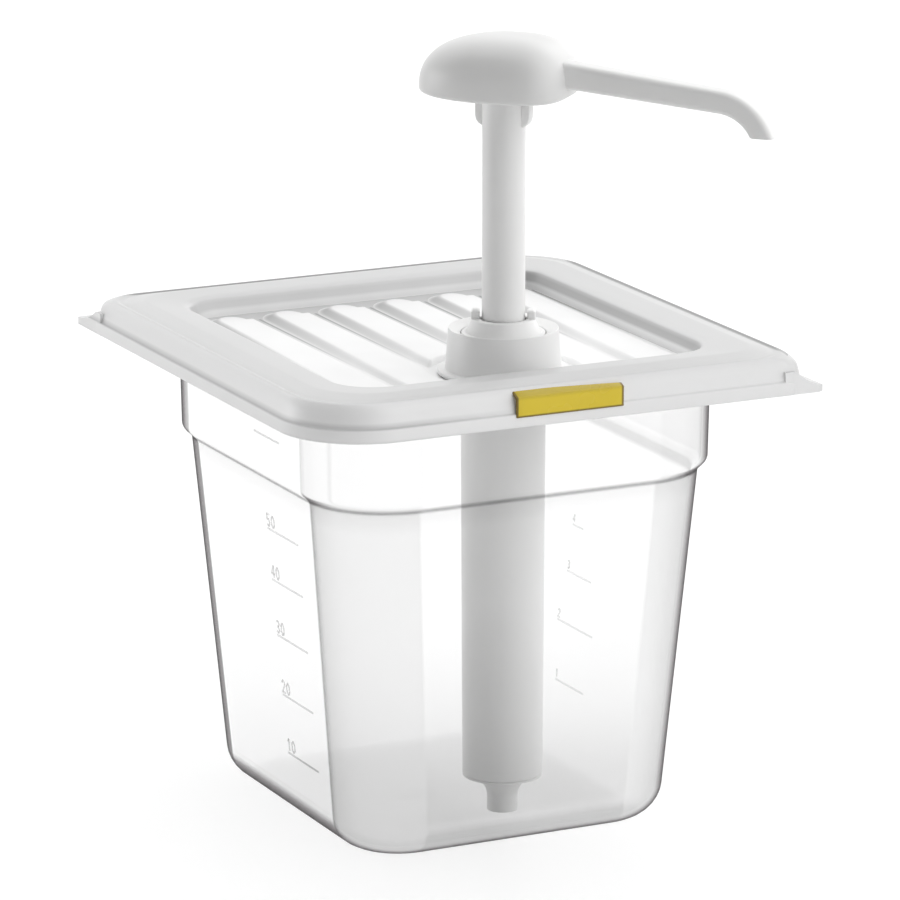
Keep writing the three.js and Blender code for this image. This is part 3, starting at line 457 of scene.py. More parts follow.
def fade(value, low, high):
    """0 at and below low, 1 at and above high."""
    inputs = {"Value": value, "From Min": low, "From Max": high}
    return node(value.id_data, "ShaderNodeMapRange", inputs).outputs[0]


def calc(operation, *values):
    """A sum on sockets and plain numbers."""
    tree = next(value for value in values if isinstance(value, bpy.types.NodeSocket)).id_data
    return node(tree, "ShaderNodeMath", enumerate(values), operation=operation).outputs[0]


def times(first, *others):
    for other in others:
        first = calc("MULTIPLY", first, other)
    return first


def rest(value):
    """What is left of 1."""
    return 1 - value if isinstance(value, float) else calc("SUBTRACT", 1.0, value)


def size(value):
    return calc("ABSOLUTE", value)


def below(value, limit):
    return calc("LESS_THAN", value, limit)


def above(value, limit):
    return calc("GREATER_THAN", value, limit)


def where(mask, tint):
    """The tint where the mask is 1, and none where it is 0."""
    return rest(times(mask, rest(tint)))


def split(tree, kind):
    """The three numbers of an object's own normal or place."""
    source = node(tree, "ShaderNodeTexCoord").outputs[kind]
    made = node(tree, "ShaderNodeSeparateXYZ", {0: source})
    return [made.outputs[axis] for axis in "XYZ"]


def moulded(name, dark, light, rough=(0.32, 0.38), depth=0.00001, metallic=0.0, patch=45):
    """Injection-moulded plastic: faint flow patches in its colour, a fine satin grain and uneven gloss."""
    material, tree = blank(name)
    grain = {"Strength": 0.25, "Distance": depth, "Height": noise(tree, 900, 3.0)}
    inputs = {
        "Base Color": ramp(noise(tree, patch), [(0.35, dark), (0.65, light)]),
        "Roughness": spread(noise(tree, patch * 4), *rough),
        "Metallic": metallic,
        "Normal": node(tree, "ShaderNodeBump", grain).outputs["Normal"],
    }
    show(node(tree, "ShaderNodeBsdfPrincipled", inputs))
    return material


def recolour(material, factor, colour):
    """The material's own colour where the factor is 0, and this one where it is 1."""
    tree = material.node_tree
    base = next(n for n in tree.nodes if n.type == "BSDF_PRINCIPLED").inputs["Base Color"]
    tree.links.new(blend(factor, base.links[0].from_socket, rgba(colour)), base)


def see_through(tint, share, body, rough):
    """A clear surface: the tint on what is seen through it, and a share of its own body and gloss."""
    tree = tint.id_data
    through = node(tree, "ShaderNodeBsdfTransparent", {"Color": tint})
    shader = node(tree, "ShaderNodeBsdfPrincipled", {"Base Color": body, "Roughness": rough})
    show(node(tree, "ShaderNodeMixShader", {0: share, 1: through.outputs[0], 2: shader.outputs[0]}))


def clear_wall(tint, haze):
    """The pan's clear plastic, with a tint for the camera and a pale shadow."""
    tree = tint.id_data
    camera_ray = node(tree, "ShaderNodeLightPath").outputs["Is Camera Ray"]
    seen = blend(camera_ray, rgba(0.98), tint)
    body = ramp(noise(tree, 30), [(0.3, (0.84, 0.84, 0.85)), (0.7, (0.88, 0.88, 0.89))])
    see_through(seen, haze, body, spread(noise(tree, 120), 0.06, 0.11))


def clear_inside(name):
    """The inner side of the clear wall, painted grey where it bends the light."""
    material, tree = blank(name)
    facing = node(tree, "ShaderNodeLayerWeight", {"Blend": 0.35}).outputs["Facing"]
    tint = ramp(facing, [(0, 0.995), (0.8, 0.99), (0.98, 0.95)])
    haze = ramp(facing, [(0, 0.015), (0.7, 0.015), (0.98, 0.05)])
    # Painted grey for bent light: the right wall's shoulder, and the band over it, seen from inside
    nx, _, _ = split(tree, "Normal")
    px, _, pz = split(tree, "Object")
    first = (SHOULDER - PAN_WALL) / PAN_DEPTH
    band = [(first - 0.01, 1), (first, 0.75), (first + 0.02, 0.75), (first + 0.03, 0.9)]
    band += [(0.9, 0.92), (1, 0.97)]
    right_wall = times(fade(times(nx, -1.0), 0.6, 0.9), above(px, 0.0))
    level = where(right_wall, ramp(calc("DIVIDE", pz, PAN_DEPTH * MM), band))
    # Painted grey for bent light at the rim, darker towards its edges
    rim = ramp(facing, [(0, 0.8), (0.6, 0.72), (1, 0.4)])
    level = times(level, where(above(pz, (PAN_DEPTH - 0.5) * MM), rim))
    tint = node(tree, "ShaderNodeVectorMath", {0: tint, "Scale": level}, operation="SCALE").outputs[0]
    clear_wall(tint, haze)
    return material


def clear_pan(name):
    """The outer side of the clear wall: its corners, base and shoulder bend the light and so look grey."""
    material, tree = blank(name)
    nx, ny, nz = split(tree, "Normal")
    px, py, pz = split(tree, "Object")
    side_x, side_y, side_z = [size(axis) for axis in (nx, ny, nz)]
    height = calc("DIVIDE", pz, PAN_DEPTH * MM)
    facing = node(tree, "ShaderNodeLayerWeight", {"Blend": 0.5}).outputs["Facing"]
    outer = fade(calc("ADD", times(nx, px), times(ny, py)), 0.0, 0.001)
    low = below(pz, (SHOULDER + 0.5) * MM)
    high = rest(low)
    corner = fade(calc("MINIMUM", side_x, side_y), 0.01, 0.05)
    base_top, flat_top, rim_bottom = 12 * MM, 3 * MM, (PAN_DEPTH - RIM_LIP - 0.2) * MM
    base = times(fade(side_z, 0.12, 0.3), below(pz, base_top))
    base = calc("MAXIMUM", base, above(pz, rim_bottom))
    # Curved plastic is greyer the more it turns away, down to a dark edge
    curved = [(0, 0.87), (0.13, 0.86), (0.25, 0.84), (0.35, 0.8), (0.48, 0.74), (0.58, 0.7), (0.64, 0.6)]
    curved += [(0.69, 0.48), (0.78, 0.3), (0.88, 0.14), (1, 0.08)]
    bent = calc("MAXIMUM", times(corner, low), base)
    edge = where(times(outer, bent), ramp(facing, curved))
    band = [(0, 0.97), (0.35, 0.95), (0.58, 0.88), (0.68, 0.6), (0.78, 0.32), (0.88, 0.14), (1, 0.08)]
    edge = times(edge, where(times(outer, corner, high), ramp(facing, band)))
    # The line where each side wall starts to curve, and fainter ones on the band's left wall
    start = [(0, 1), (0.012, 1), (0.03, 0.6), (0.07, 0.8), (0.12, 0.94), (0.2, 1)]
    side_wall = times(outer, low, fade(side_x, 0.7, 0.8))
    line = where(side_wall, ramp(side_y, start))
    faint = [(0, 1), (0.012, 1), (0.03, 0.84), (0.07, 0.94), (0.12, 1), (0.44, 1), (0.48, 0.9), (0.52, 1)]
    left_band = times(outer, high, fade(times(nx, -1.0), 0.6, 0.8))
    line = times(line, where(left_band, ramp(side_y, faint)))
    # Painted shade: the front and rear walls are painted darker towards the base, for the shade seen through
    # them there
    base_shade = ramp(height, [(0, 0.94), (0.04, 0.9), (0.09, 0.8), (0.14, 0.8), (0.3, 0.9), (0.55, 1)])
    painted_base_shade = where(times(outer, fade(side_y, 0.02, 0.3)), base_shade)
    painted_base_shade = where(rest(corner), painted_base_shade)
    # The shoulder's line
    first, last = SHOULDER / PAN_DEPTH, (SHOULDER + SHOULDER_RISE) / PAN_DEPTH
    step = [(first - 0.05, 1), (first - 0.004, 0.9), (first + 0.001, 0.4), (first + 0.006, 0.5)]
    step += [(first + 0.01, 0.92), (last, 1)]
    shoulder = where(outer, ramp(height, step))
    bottom = times(below(pz, flat_top), fade(side_z, 0.9, 0.98))
    total = times(edge, line, painted_base_shade, shoulder, where(bottom, 0.95))
    total = times(total, ramp(facing, [(0, 0.995), (0.7, 0.985), (0.9, 0.9), (1, 0.7)]))
    # Where this painted grey of bent light is darkest, at the edges, it is a little mauve
    dark = fade(rest(edge), 0.35, 0.8)
    green, blue = [times(total, where(dark, share)) for share in (0.95, 0.97)]
    colour = node(tree, "ShaderNodeCombineColor", {"Red": total, "Green": green, "Blue": blue})
    haze = ramp(facing, [(0, 0.05), (0.45, 0.04), (0.6, 0.02), (0.98, 0.04)])
    clear_wall(colour.outputs[0], haze)
    return material


def pale_stroke(name, tint):
    """A raised stroke in clear plastic, a little greyer than the wall it stands on."""
    material, tree = blank(name)
    through = ramp(noise(tree, 400), [(0.3, tint), (0.7, tint + 0.03)])
    body = ramp(noise(tree, 200), [(0.3, (0.6, 0.6, 0.61)), (0.7, (0.68, 0.68, 0.69))])
    see_through(through, 0.12, body, spread(noise(tree, 300), 0.25, 0.4))
    return material


def in_recess(px, py, margin):
    """1 in the lid's recess and up to a margin past it."""
    across = below(size(px), (RECESS_X + margin) * MM)
    return times(across, below(size(py), (RECESS_Y + margin) * MM))


def tongue_shade_line(tree):
    """1 on the thin line of painted shade along each tongue's left edge, fading towards the front."""
    px, py, _ = split(tree, "Object")
    # A whole number of pitches is added, so that the fraction is taken of a number above 0
    pitches = calc("ADD", calc("DIVIDE", px, TONGUE_PITCH * MM), 20)
    off = times(calc("SUBTRACT", calc("FRACT", pitches), 0.5), TONGUE_PITCH)
    from_edge = size(calc("ADD", off, TONGUE_HALF + 0.1))
    near = rest(fade(from_edge, 0.25, 0.6))
    return times(near, below(py, 56 * MM), fade(py, -25 * MM, 35 * MM))


def milky(name):
    """Thin milky plastic: the sides turned from the window are painted lighter, for the light that shows
    through them.
    """
    material = moulded(name, 0.59, 0.61, (0.3, 0.34), patch=20)
    tree = material.node_tree
    nx, ny, _ = split(tree, "Normal")
    px, py, pz = split(tree, "Object")
    # Painted light: the sides turned from the window are made lighter
    lean = calc("ADD", times(nx, -0.95), times(ny, -0.8))
    recolour(material, fade(lean, 0.0, 0.75), 0.92)
    # Painted shade by height: a dark line in the crease over the flange and along the lower edge, on the left
    # side only
    high = calc("DIVIDE", calc("SUBTRACT", pz, LID_BOTTOM * MM), FRAME_CROWN[1] * MM)
    crease = [(0, 0.5), (0.03, 0.15), (0.08, 0), (0.31, 0), (0.345, 0.6), (0.38, 0.4), (0.48, 0), (1, 0)]
    leftward = rest(fade(px, -55 * MM, -5 * MM))
    recolour(material, times(leftward, ramp(high, crease)), 0.34)
    # Painted shade on the recess's walls by their height, with a lighter band at their foot
    wall_x = fade(size(nx), 0.35, 0.8)
    wall_y = times(fade(size(ny), 0.35, 0.8), 0.45)
    steep = times(calc("MAXIMUM", wall_x, wall_y), in_recess(px, py, 2))
    dark = [(0, 0), (0.6, 0), (0.68, 0.9), (0.8, 1), (0.88, 0.7), (0.95, 0)]
    recolour(material, times(steep, ramp(high, dark)), 0.5)
    foot = [(0, 0), (0.47, 0), (0.5, 0.9), (0.58, 0.6), (0.64, 0)]
    recolour(material, times(steep, ramp(high, foot)), 0.85)
    # Painted shade: a dark line along the frame's crest at the rear and at the right
    rear = fade(py, (LID_Y - 5.6) * MM, (LID_Y - 4.9) * MM)
    right = fade(px, (LID_X - 5.6) * MM, (LID_X - 4.6) * MM)
    crest = times(calc("MAXIMUM", rear, right), above(pz, (LID_BOTTOM + 11.3) * MM))
    recolour(material, crest, 0.3)
    # The panel is painted near white towards the front and kept grey towards the rear, as painted shade
    # between the tongues
    level = below(size(calc("SUBTRACT", pz, PANEL_TOP * MM)), 0.6 * MM)
    panel = times(in_recess(px, py, -2.2), level)
    recolour(material, times(panel, rest(fade(py, -20 * MM, 50 * MM))), 0.9)
    recolour(material, times(panel, tongue_shade_line(tree)), 0.3)
    return material


def pale_panel(name):
    """The tongues: near white, with painted shade on the slopes at their left near the rear and a painted
    shade line along their left edges.
    """
    material = moulded(name, 0.90, 0.93, (0.3, 0.36))
    tree = material.node_tree
    nx, _, _ = split(tree, "Normal")
    _, py, _ = split(tree, "Object")
    slope = fade(times(nx, -1.0), 0.08, 0.4)
    recolour(material, times(slope, fade(py, -15 * MM, 55 * MM)), 0.5)
    recolour(material, tongue_shade_line(tree), 0.3)
    return material


def edged_clip(name):
    """Yellow see-through plastic: browner along its ends and its lower edge, where it is seen in depth."""
    material = moulded(name, (0.74, 0.56, 0.02), (0.80, 0.61, 0.03), (0.24, 0.3), patch=20)
    tree = material.node_tree
    px, _, pz = split(tree, "Object")
    to_left = fade(px, (CLIP_LEFT + 0.45) * MM, (CLIP_LEFT + 0.85) * MM)
    to_right = fade(times(px, -1.0), (0.6 - CLIP_RIGHT) * MM, (1 - CLIP_RIGHT) * MM)
    to_bottom = fade(pz, (CLIP_BOTTOM + 0.4) * MM, (CLIP_BOTTOM + 0.8) * MM)
    recolour(material, fade(pz, (CLIP_BEND - 1) * MM, (CLIP_BEND + 0.4) * MM), (0.56, 0.42, 0.015))
    recolour(material, rest(times(to_left, to_right, to_bottom)), (0.2, 0.13, 0.008))
    return material


pan_plastic = clear_pan("pan_plastic")
pan_inside = clear_inside("pan_inside")
lid_plastic = milky("lid_plastic")
panel_plastic = pale_panel("panel_plastic")
white_plastic = moulded("white_plastic", (0.88, 0.88, 0.875), (0.90, 0.90, 0.895))
# Darker copies of the white plastic for the head and the spout: painted shade
shaded_head_white = moulded("shaded_head_white", (0.75, 0.75, 0.745), (0.77, 0.77, 0.765))
shaded_spout_white = moulded("shaded_spout_white", (0.84, 0.84, 0.835), (0.86, 0.86, 0.855))
clip_plastic = edged_clip("clip_plastic")
mark_plastic = pale_stroke("mark_plastic", 0.9)
faint_plastic = pale_stroke("faint_plastic", 0.97)
seal_plastic = moulded("seal_plastic", (0.66, 0.67, 0.65), (0.72, 0.72, 0.70), (0.5, 0.65), 0.00002)
steel = moulded("steel_finish", (0.55, 0.55, 0.56), (0.62, 0.62, 0.63), (0.2, 0.32), 0.00002, metallic=1.0)

silicone_nodes = ["lid_gasket", "cylinder_washer", "stem_wiper", "inlet_foot_seal"]
silicone_nodes += ["upper_piston_seal", "lower_piston_seal", "spout_seal"]
node_finishes = {"container": pan_plastic, "lid": lid_plastic, "colour_clip": clip_plastic}
node_finishes |= dict.fromkeys(silicone_nodes, seal_plastic)
node_finishes |= dict.fromkeys(["inlet_ball", "outlet_ball", "return_spring"], steel)
for name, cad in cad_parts.items():
    if not cad.material_slots:
        cad.data.materials.append(white_plastic)
    for material_slot in cad.material_slots:
        material_slot.material = node_finishes.get(name, white_plastic)


# Pan


def pan_shape():
    """The pan's skin, up its outside and down its inside, and the number of its first inner face."""
    low_y = MOUTH_Y - BAND_DRAFT - SHOULDER_STEP
    low_r = MOUTH_RADIUS - BAND_DRAFT - SHOULDER_STEP

    def wall(share, z, inset):
        radius = low_r - TAPER_RADIUS * share - inset
        return (LOW_X - TAPER_X * share - inset, z, low_y - TAPER_Y * share - inset, radius)

    def fillet(radius, inset, bottom, steps=8):
        rows = []
        for k in range(steps + 1):
            a = k / steps * math.pi / 2
            z = bottom + radius * (1 - math.sin(a))
            rows.append(wall(1 - z / SHOULDER, z, inset + radius * (1 - math.cos(a))))
        return rows[::-1]

    def upper(inset, z):
        return (MOUTH_X - inset, z, MOUTH_Y - inset, MOUTH_RADIUS - inset)

    def rim(inset, z):
        return (RIM_X - inset, z, RIM_Y - inset, RIM_RADIUS - inset)

    outer = [
        wall(0, SHOULDER, 0),
        upper(BAND_DRAFT, SHOULDER + SHOULDER_RISE),
        upper(0, PAN_UNDER_RIM),
        rim(RIM_LIP_THICK, PAN_UNDER_RIM),
        rim(RIM_LIP_THICK, PAN_DEPTH - RIM_LIP),
        rim(0, PAN_DEPTH - RIM_LIP),
        rim(0, PAN_DEPTH),
        upper(PAN_WALL, PAN_DEPTH),
        upper(PAN_WALL + BAND_DRAFT, SHOULDER + SHOULDER_RISE),
        wall(0, SHOULDER, PAN_WALL),
    ]
    outside = fillet(BASE_FILLET, 0, 0)
    inside = fillet(BASE_FILLET - PAN_WALL, PAN_WALL, PAN_FLOOR)[::-1]
    middle = softened([outside[-1], *outer, inside[0]], PAN_SOFT)[1:-1]
    rows = outside + middle + inside
    rings = [rounded(hx, hy, z, r, steps=20, support=True) for hx, z, hy, r in rows]
    points, faces = skin(rings, start_cap=False)
    top = next(k for k, row in enumerate(rows) if row[1] == PAN_DEPTH)
    underside = tuple(reversed(range(len(rings[0]))))
    return (points, [underside, *faces]), len(rings[0]) * top + 1


pan, inside_from = pan_shape()
piece(
    "pan_body",
    pan,
    pan_plastic,
    "container",
    ["container"],
    inner=pan_inside,
    inner_from=inside_from,
)

# Graduation marks: a line and one or two generic digits of thin raised strokes at each level

DIGITS = {
    "1": [(0.2, 0.75), (0.55, 1), (0.55, 0)],
    "2": [(0, 0.8), (0.3, 1), (0.8, 0.95), (0.95, 0.7), (0, 0), (1, 0)],
    "3": [(0, 0.9), (0.5, 1), (0.95, 0.75), (0.45, 0.52), (1, 0.25), (0.5, 0), (0, 0.1)],
    "4": [(0.7, 0), (0.7, 1), (0, 0.3), (1, 0.3)],
    "5": [(0.95, 1), (0.1, 1), (0.05, 0.55), (0.6, 0.6), (0.95, 0.3), (0.55, 0), (0, 0.08)],
    "0": [(0.5, 0), (0.95, 0.25), (0.95, 0.75), (0.5, 1), (0.05, 0.75), (0.05, 0.25), (0.5, 0)],
}


def wall_at(z):
    """How far a side wall's outer face stands from the middle at a height."""
    if z > SHOULDER + SHOULDER_RISE:
        return MOUTH_X - BAND_DRAFT * (PAN_UNDER_RIM - z) / (PAN_UNDER_RIM - SHOULDER)
    return LOW_X - TAPER_X * (1 - z / SHOULDER)


def strokes(lines, side):
    """Thin strips along lines of (y, z) points on a side wall of the pan."""
    points, faces = [], []
    section = ((1, -MARK_SUNK), (1, MARK_PROUD), (-1, MARK_PROUD), (-1, -MARK_SUNK))
    for line in lines:
        for (ya, za), (yb, zb) in zip(line, line[1:]):
            half = MARK_WIDTH / 2 / math.dist((ya, za), (yb, zb))
            across_y, across_z = (zb - za) * half, (ya - yb) * half
            base = len(points)
            for y, z in ((ya, za), (yb, zb)):
                for k, depth in section:
                    zz = z + across_z * k
                    points.append((side * (wall_at(zz) + depth), y + across_y * k, zz))
            ring = [0, 1, 2, 3]
            faces += [tuple(base + k for k in ring), tuple(base + 7 - k for k in ring)]
            faces += [(base + k, base + 4 + k, base + 4 + (k + 1) % 4, base + (k + 1) % 4) for k in ring]
    return points, faces


def mark(side, start, end, level, high, text):
    """A line from start to end at its level, with the digits above it at its rear end."""
    lines = [[(start, level), (end, level)]]
    for k, letter in enumerate(text):
        left, foot = start - k * high * DIGIT_PITCH, level + DIGIT_GAP
        lines.append([(left - u * high * DIGIT_WIDTH, foot + v * high) for u, v in DIGITS[letter]])
    return strokes(lines, side)


left_levels = {"50": 98.5, "40": 81.6, "30": 63.2, "20": 43.3, "10": 23.8}
left_marks = [mark(-1, *LEFT_LINE, level, LEFT_DIGITS, text) for text, level in left_levels.items()]
left_marks.append(strokes([[(y, BAND_LEVEL) for y in BAND_LINE]], -1))
right_lines = {"4": (30, 22.5, 75.5), "3": (31, 14, 59.5), "2": (35, 10, 42), "1": (33, 13, 22)}
right_marks = [mark(1, *line, RIGHT_DIGITS, text) for text, line in right_lines.items()]
piece(
    "level_marks",
    joined(*left_marks, *right_marks),
    mark_plastic,
    "container",
    inner=faint_plastic,
    inner_from=sum(len(faces) for _, faces in left_marks),
)

# Lid: frame with its skirt and recess, tabs, and the raised tongues


def lid_ring(inset, height, tab_radius, radius=None):
    radius = LID_RADIUS - inset if radius is None else radius
    return (LID_X - inset, LID_BOTTOM + height, LID_Y - inset, radius, tab_radius)


def recess_ring(grow, height, radius):
    return (RECESS_X + grow, LID_BOTTOM + height, RECESS_Y + grow, radius, radius)


def lid_shape():
    """The lid's skin: from the panel's underside out to the lower edge, over the frame and to the panel."""
    crest = LID_RADIUS - FRAME_CREST[0]
    under = PANEL_RADIUS + LID_WALL * 2
    inset, top = SKIRT_TOP
    rows = [
        recess_ring(LID_WALL - RECESS_DRAFT, PANEL_HEIGHT - LID_WALL, under),
        recess_ring(LID_WALL - RECESS_DRAFT, PANEL_HEIGHT + CEILING_STEP, under),
        recess_ring(LID_WALL, LID_CEILING, under + RECESS_DRAFT),
        lid_ring(FRAME_CREST[0] + LID_WALL, LID_CEILING, FRAME_TAB_CORNER),
        lid_ring(inset + LID_WALL, top, TAB_CORNER - inset, crest - LID_WALL),
        lid_ring(LID_WALL, SKIRT_CREASE[1], TAB_CORNER - LID_WALL),
        lid_ring(LID_WALL, 0, TAB_CORNER - LID_WALL),
        lid_ring(0, 0, TAB_CORNER),
        lid_ring(*SKIRT_FLANGE, TAB_CORNER),
        lid_ring(*SKIRT_CREASE, TAB_CORNER - SKIRT_CREASE[0]),
        lid_ring(inset, top, TAB_CORNER - inset),
        lid_ring(*FRAME_EDGE, EDGE_TAB_CORNER),
        lid_ring(*FRAME_CREST, FRAME_TAB_CORNER),
        lid_ring(*FRAME_GROOVE, FRAME_TAB_CORNER),
        lid_ring(*FRAME_RIDGE, FRAME_TAB_CORNER),
        lid_ring(*FRAME_CROWN, (FRAME_TAB_CORNER + RECESS_RADIUS) / 2, (crest + RECESS_RADIUS) / 2),
        recess_ring(*RECESS_LIP, RECESS_RADIUS + RECESS_ROUND),
        recess_ring(0, RECESS_EDGE, RECESS_RADIUS),
        recess_ring(-RECESS_DRAFT, PANEL_HEIGHT, PANEL_RADIUS),
    ]
    rings = [rounded(hx, hy, z, r, rt) for hx, z, hy, r, rt in softened(rows, LID_SOFT)]

    def hole(ring, z):
        made = []
        for x, y, _ in ring:
            share = PUMP_HOLE / math.hypot(x - PUMP_X, y - PUMP_Y)
            made.append((PUMP_X + (x - PUMP_X) * share, PUMP_Y + (y - PUMP_Y) * share, z))
        return made

    return skin([*rings, hole(rings[-1], PANEL_TOP), hole(rings[0], PANEL_TOP - LID_WALL)], closed=True)


def tab_shape(reach):
    """A pull tab's plate and the web up to the lid's corner, as a grid that thins towards the tip."""
    rows, columns = 18, 22
    root = LID_WALL + TAB_CORNER
    points, faces = [], []

    def place(u, along, top):
        tip = reach * (1 - max(0.0, (along - TAB_RUN + TAB_TAIL) / TAB_TAIL) ** 2)
        if along < TAB_TIP:
            tip += math.sqrt(TAB_TIP**2 - (TAB_TIP - along) ** 2) - TAB_TIP
        x = -root + (tip + root) * u
        y = TAB_INSET + along
        web = WEB_HEIGHT * max(0.0, 1 - max(0.0, x + WEB_ROOT) / (WEB_ROOT + reach * 0.6)) ** 2
        web *= max(0.0, 1 - max(0.0, y - WEB_START) / WEB_ROOT) ** 1.5
        z = TAB_THICK - TAB_THIN * max(0.0, x / reach) ** 2 + web if top else TAB_INSET
        return x, y, LID_BOTTOM + z

    for top in (False, True):
        for i in range(rows + 1):
            points += [place(i / rows, j / columns * TAB_RUN, top) for j in range(columns + 1)]
    width = columns + 1
    layer = (rows + 1) * width
    for i in range(rows):
        for j in range(columns):
            a = i * width + j
            faces.append((a, a + 1, a + width + 1, a + width))
            b = a + layer
            faces.append((b, b + width, b + width + 1, b + 1))
    edge = [*range(width), *(i * width + columns for i in range(1, rows + 1))]
    edge += [rows * width + j for j in range(columns - 1, -1, -1)]
    edge += [i * width for i in range(rows - 1, 0, -1)]
    for a, b in zip(edge, edge[1:] + edge[:1]):
        faces.append((a, a + layer, b + layer, b))
    return points, faces


def rear_tab():
    points, faces = tab_shape(REAR_TAB)
    # Mirrored across the line from the front-left to the rear-right corner
    return [(-LID_X + y, LID_Y + x, z) for x, y, z in points], [tuple(reversed(f)) for f in faces]


def front_tab():
    points, faces = tab_shape(FRONT_TAB)
    return [(LID_X + x, -LID_Y + y, z) for x, y, z in points], faces


def tongues_shape():
    """The raised tongues as a fine sheet that stands out of the panel; each leans up from its left edge."""
    rear = RECESS_Y - RECESS_DRAFT - TONGUE_GAP
    front = -rear
    pitch_x, pitch_y = 0.6, 0.9
    last = TONGUES - 1
    columns = int(2 * SHEET_X / pitch_x)
    rows = int((rear - front + 2 * SHEET_MARGIN) / pitch_y)

    def height(x, y):
        nearest = min(last, max(0, round(x / TONGUE_PITCH + last / 2)))
        off = x - (nearest - last / 2) * TONGUE_PITCH
        ahead = y - (rear - TONGUE_ARCH)
        inside = TONGUE_HALF - abs(off)
        if ahead > 0:
            inside = (1 - math.hypot(off / TONGUE_HALF, ahead / TONGUE_ARCH)) * TONGUE_HALF
        to_front = smooth((rear - y) / (rear - front))
        slope = REAR_SLOPE - SLOPE_LOSS * to_front if off < 0 or ahead > 0 else RIGHT_SLOPE
        rise = TONGUE_RISE * smooth(min(inside, y - front) / slope)
        away = math.hypot(x - PUMP_X, y - PUMP_Y) - PLAIN_RADIUS
        return (rise + TONGUE_DIP) * smooth(away / PLAIN_EDGE + 0.5) - TONGUE_DIP

    points, heights, faces = [], [], []
    for i in range(columns + 1):
        for j in range(rows + 1):
            x, y = -SHEET_X + i * pitch_x, front - SHEET_MARGIN + j * pitch_y
            heights.append(height(x, y))
            points.append((x, y, PANEL_TOP + heights[-1] - SHEET_SINK))
    for i in range(columns):
        for j in range(rows):
            a = i * (rows + 1) + j
            corners = (a, a + rows + 1, a + rows + 2, a + 1)
            if max(heights[c] for c in corners) > 0:
                faces.append(corners)
    used = sorted({v for f in faces for v in f})
    number = {v: k for k, v in enumerate(used)}
    return [points[v] for v in used], [tuple(number[v] for v in f) for f in faces]


lid = joined(lid_shape(), front_tab(), rear_tab())
piece("lid_shell", lid, lid_plastic, "lid_unit", ["lid"])
piece("lid_tongues", tongues_shape(), panel_plastic, "lid_unit", crease=60)


def clip_shape():
    """The clip's plate follows the skirt; its lip lies on the frame's edge and is cut back to the right."""
    back = CLIP_FACE + CLIP_THICK
    length = CLIP_RIGHT - CLIP_LEFT

    def section(x, inset):
        run = CLIP_LIP - CLIP_LIP_CUT * (x - CLIP_LEFT) / length
        rise = CLIP_LIP_RISE * run / CLIP_LIP
        outline = [
            (CLIP_FACE, CLIP_BOTTOM + inset),
            (back - inset, CLIP_BOTTOM + inset),
            (back - inset, CLIP_BEND - CLIP_THICK / 2),
            (CLIP_FACE + run, CLIP_BEND + rise - CLIP_THICK + inset),
            (CLIP_FACE + run, CLIP_BEND + rise - inset * 0.6),
            (CLIP_FACE, CLIP_BEND - inset * 0.6),
        ]
        soft = softened(outline, CLIP_SOFT, 3, closed=True)
        return [(x, y + (inset if y < CLIP_FACE + 0.1 else 0), z) for y, z in soft]

    ends = [(0, 0.3), (0.1, 0.1), (0.35, 0)]
    stops = ends + [(length * k / 8, 0) for k in range(1, 8)]
    stops += [(length - d, inset) for d, inset in reversed(ends)]
    return skin([section(CLIP_LEFT + d, inset) for d, inset in stops])


piece("clip_body", clip_shape(), clip_plastic, "lid_unit", ["colour_clip"])

# Pump, made round its own axis and then moved


def pump_piece(name, shape, material, body, replaces, turn=0):
    return piece(name, moved(shape, turn, PUMP_X, PUMP_Y), material, body, replaces)


def white_lathe(name, profile, replaces, soft=0.45, extra=()):
    shape = joined(lathe(profile, soft), *extra)
    pump_piece(name, shape, white_plastic, "lid_unit", replaces)


cylinder_profile = [
    (BORE, CYLINDER_BOTTOM),
    (CYLINDER_END, CYLINDER_BOTTOM),
    (CYLINDER_RADIUS, FLANGE_BOTTOM),
    (FLANGE_RADIUS, FLANGE_BOTTOM),
    (FLANGE_RADIUS, FLANGE_TOP),
    (CYLINDER_RADIUS, FLANGE_TOP),
    (CYLINDER_RADIUS, NECK_TOP),
    (BORE, NECK_TOP),
]
white_lathe("cylinder_tube", cylinder_profile, ["pump_cylinder"], soft=0.15)
collar_profile = [
    (COLLAR_BORE, COLLAR_BOTTOM),
    (COLLAR_FOOT, COLLAR_BOTTOM),
    (COLLAR_FOOT, COLLAR_FOOT_TOP),
    (COLLAR_LOW, COLLAR_FOOT_TOP),
    (COLLAR_HIGH, COLLAR_TOP),
    (DISH_RADIUS, DISH_FLOOR),
    (DISH_RADIUS, DISH_UNDER),
    (COLLAR_BORE, DISH_UNDER),
]
white_lathe("collar_body", collar_profile, ["collar_nut"])


def claw(turn):
    """A claw on the guide cap: a block with softened edges, as a skin of rounded rectangles."""
    half, middle = (CLAW_OUTSIDE - CLAW_INSIDE) / 2, (CLAW_OUTSIDE + CLAW_INSIDE) / 2
    low, high = CAP_TOP - CLAW_BEVEL, CAP_TOP + CLAW_HEIGHT
    rings = []
    for inset, z in ((CLAW_BEVEL, low), (0, low + CLAW_BEVEL), (0, high - CLAW_BEVEL), (CLAW_BEVEL, high)):
        ring = rounded(half - inset, CLAW_HALF - inset, z, CLAW_BEVEL * 1.2, steps=4)
        rings.append([(x + middle, y, zz) for x, y, zz in ring])
    return moved(skin(rings), turn)


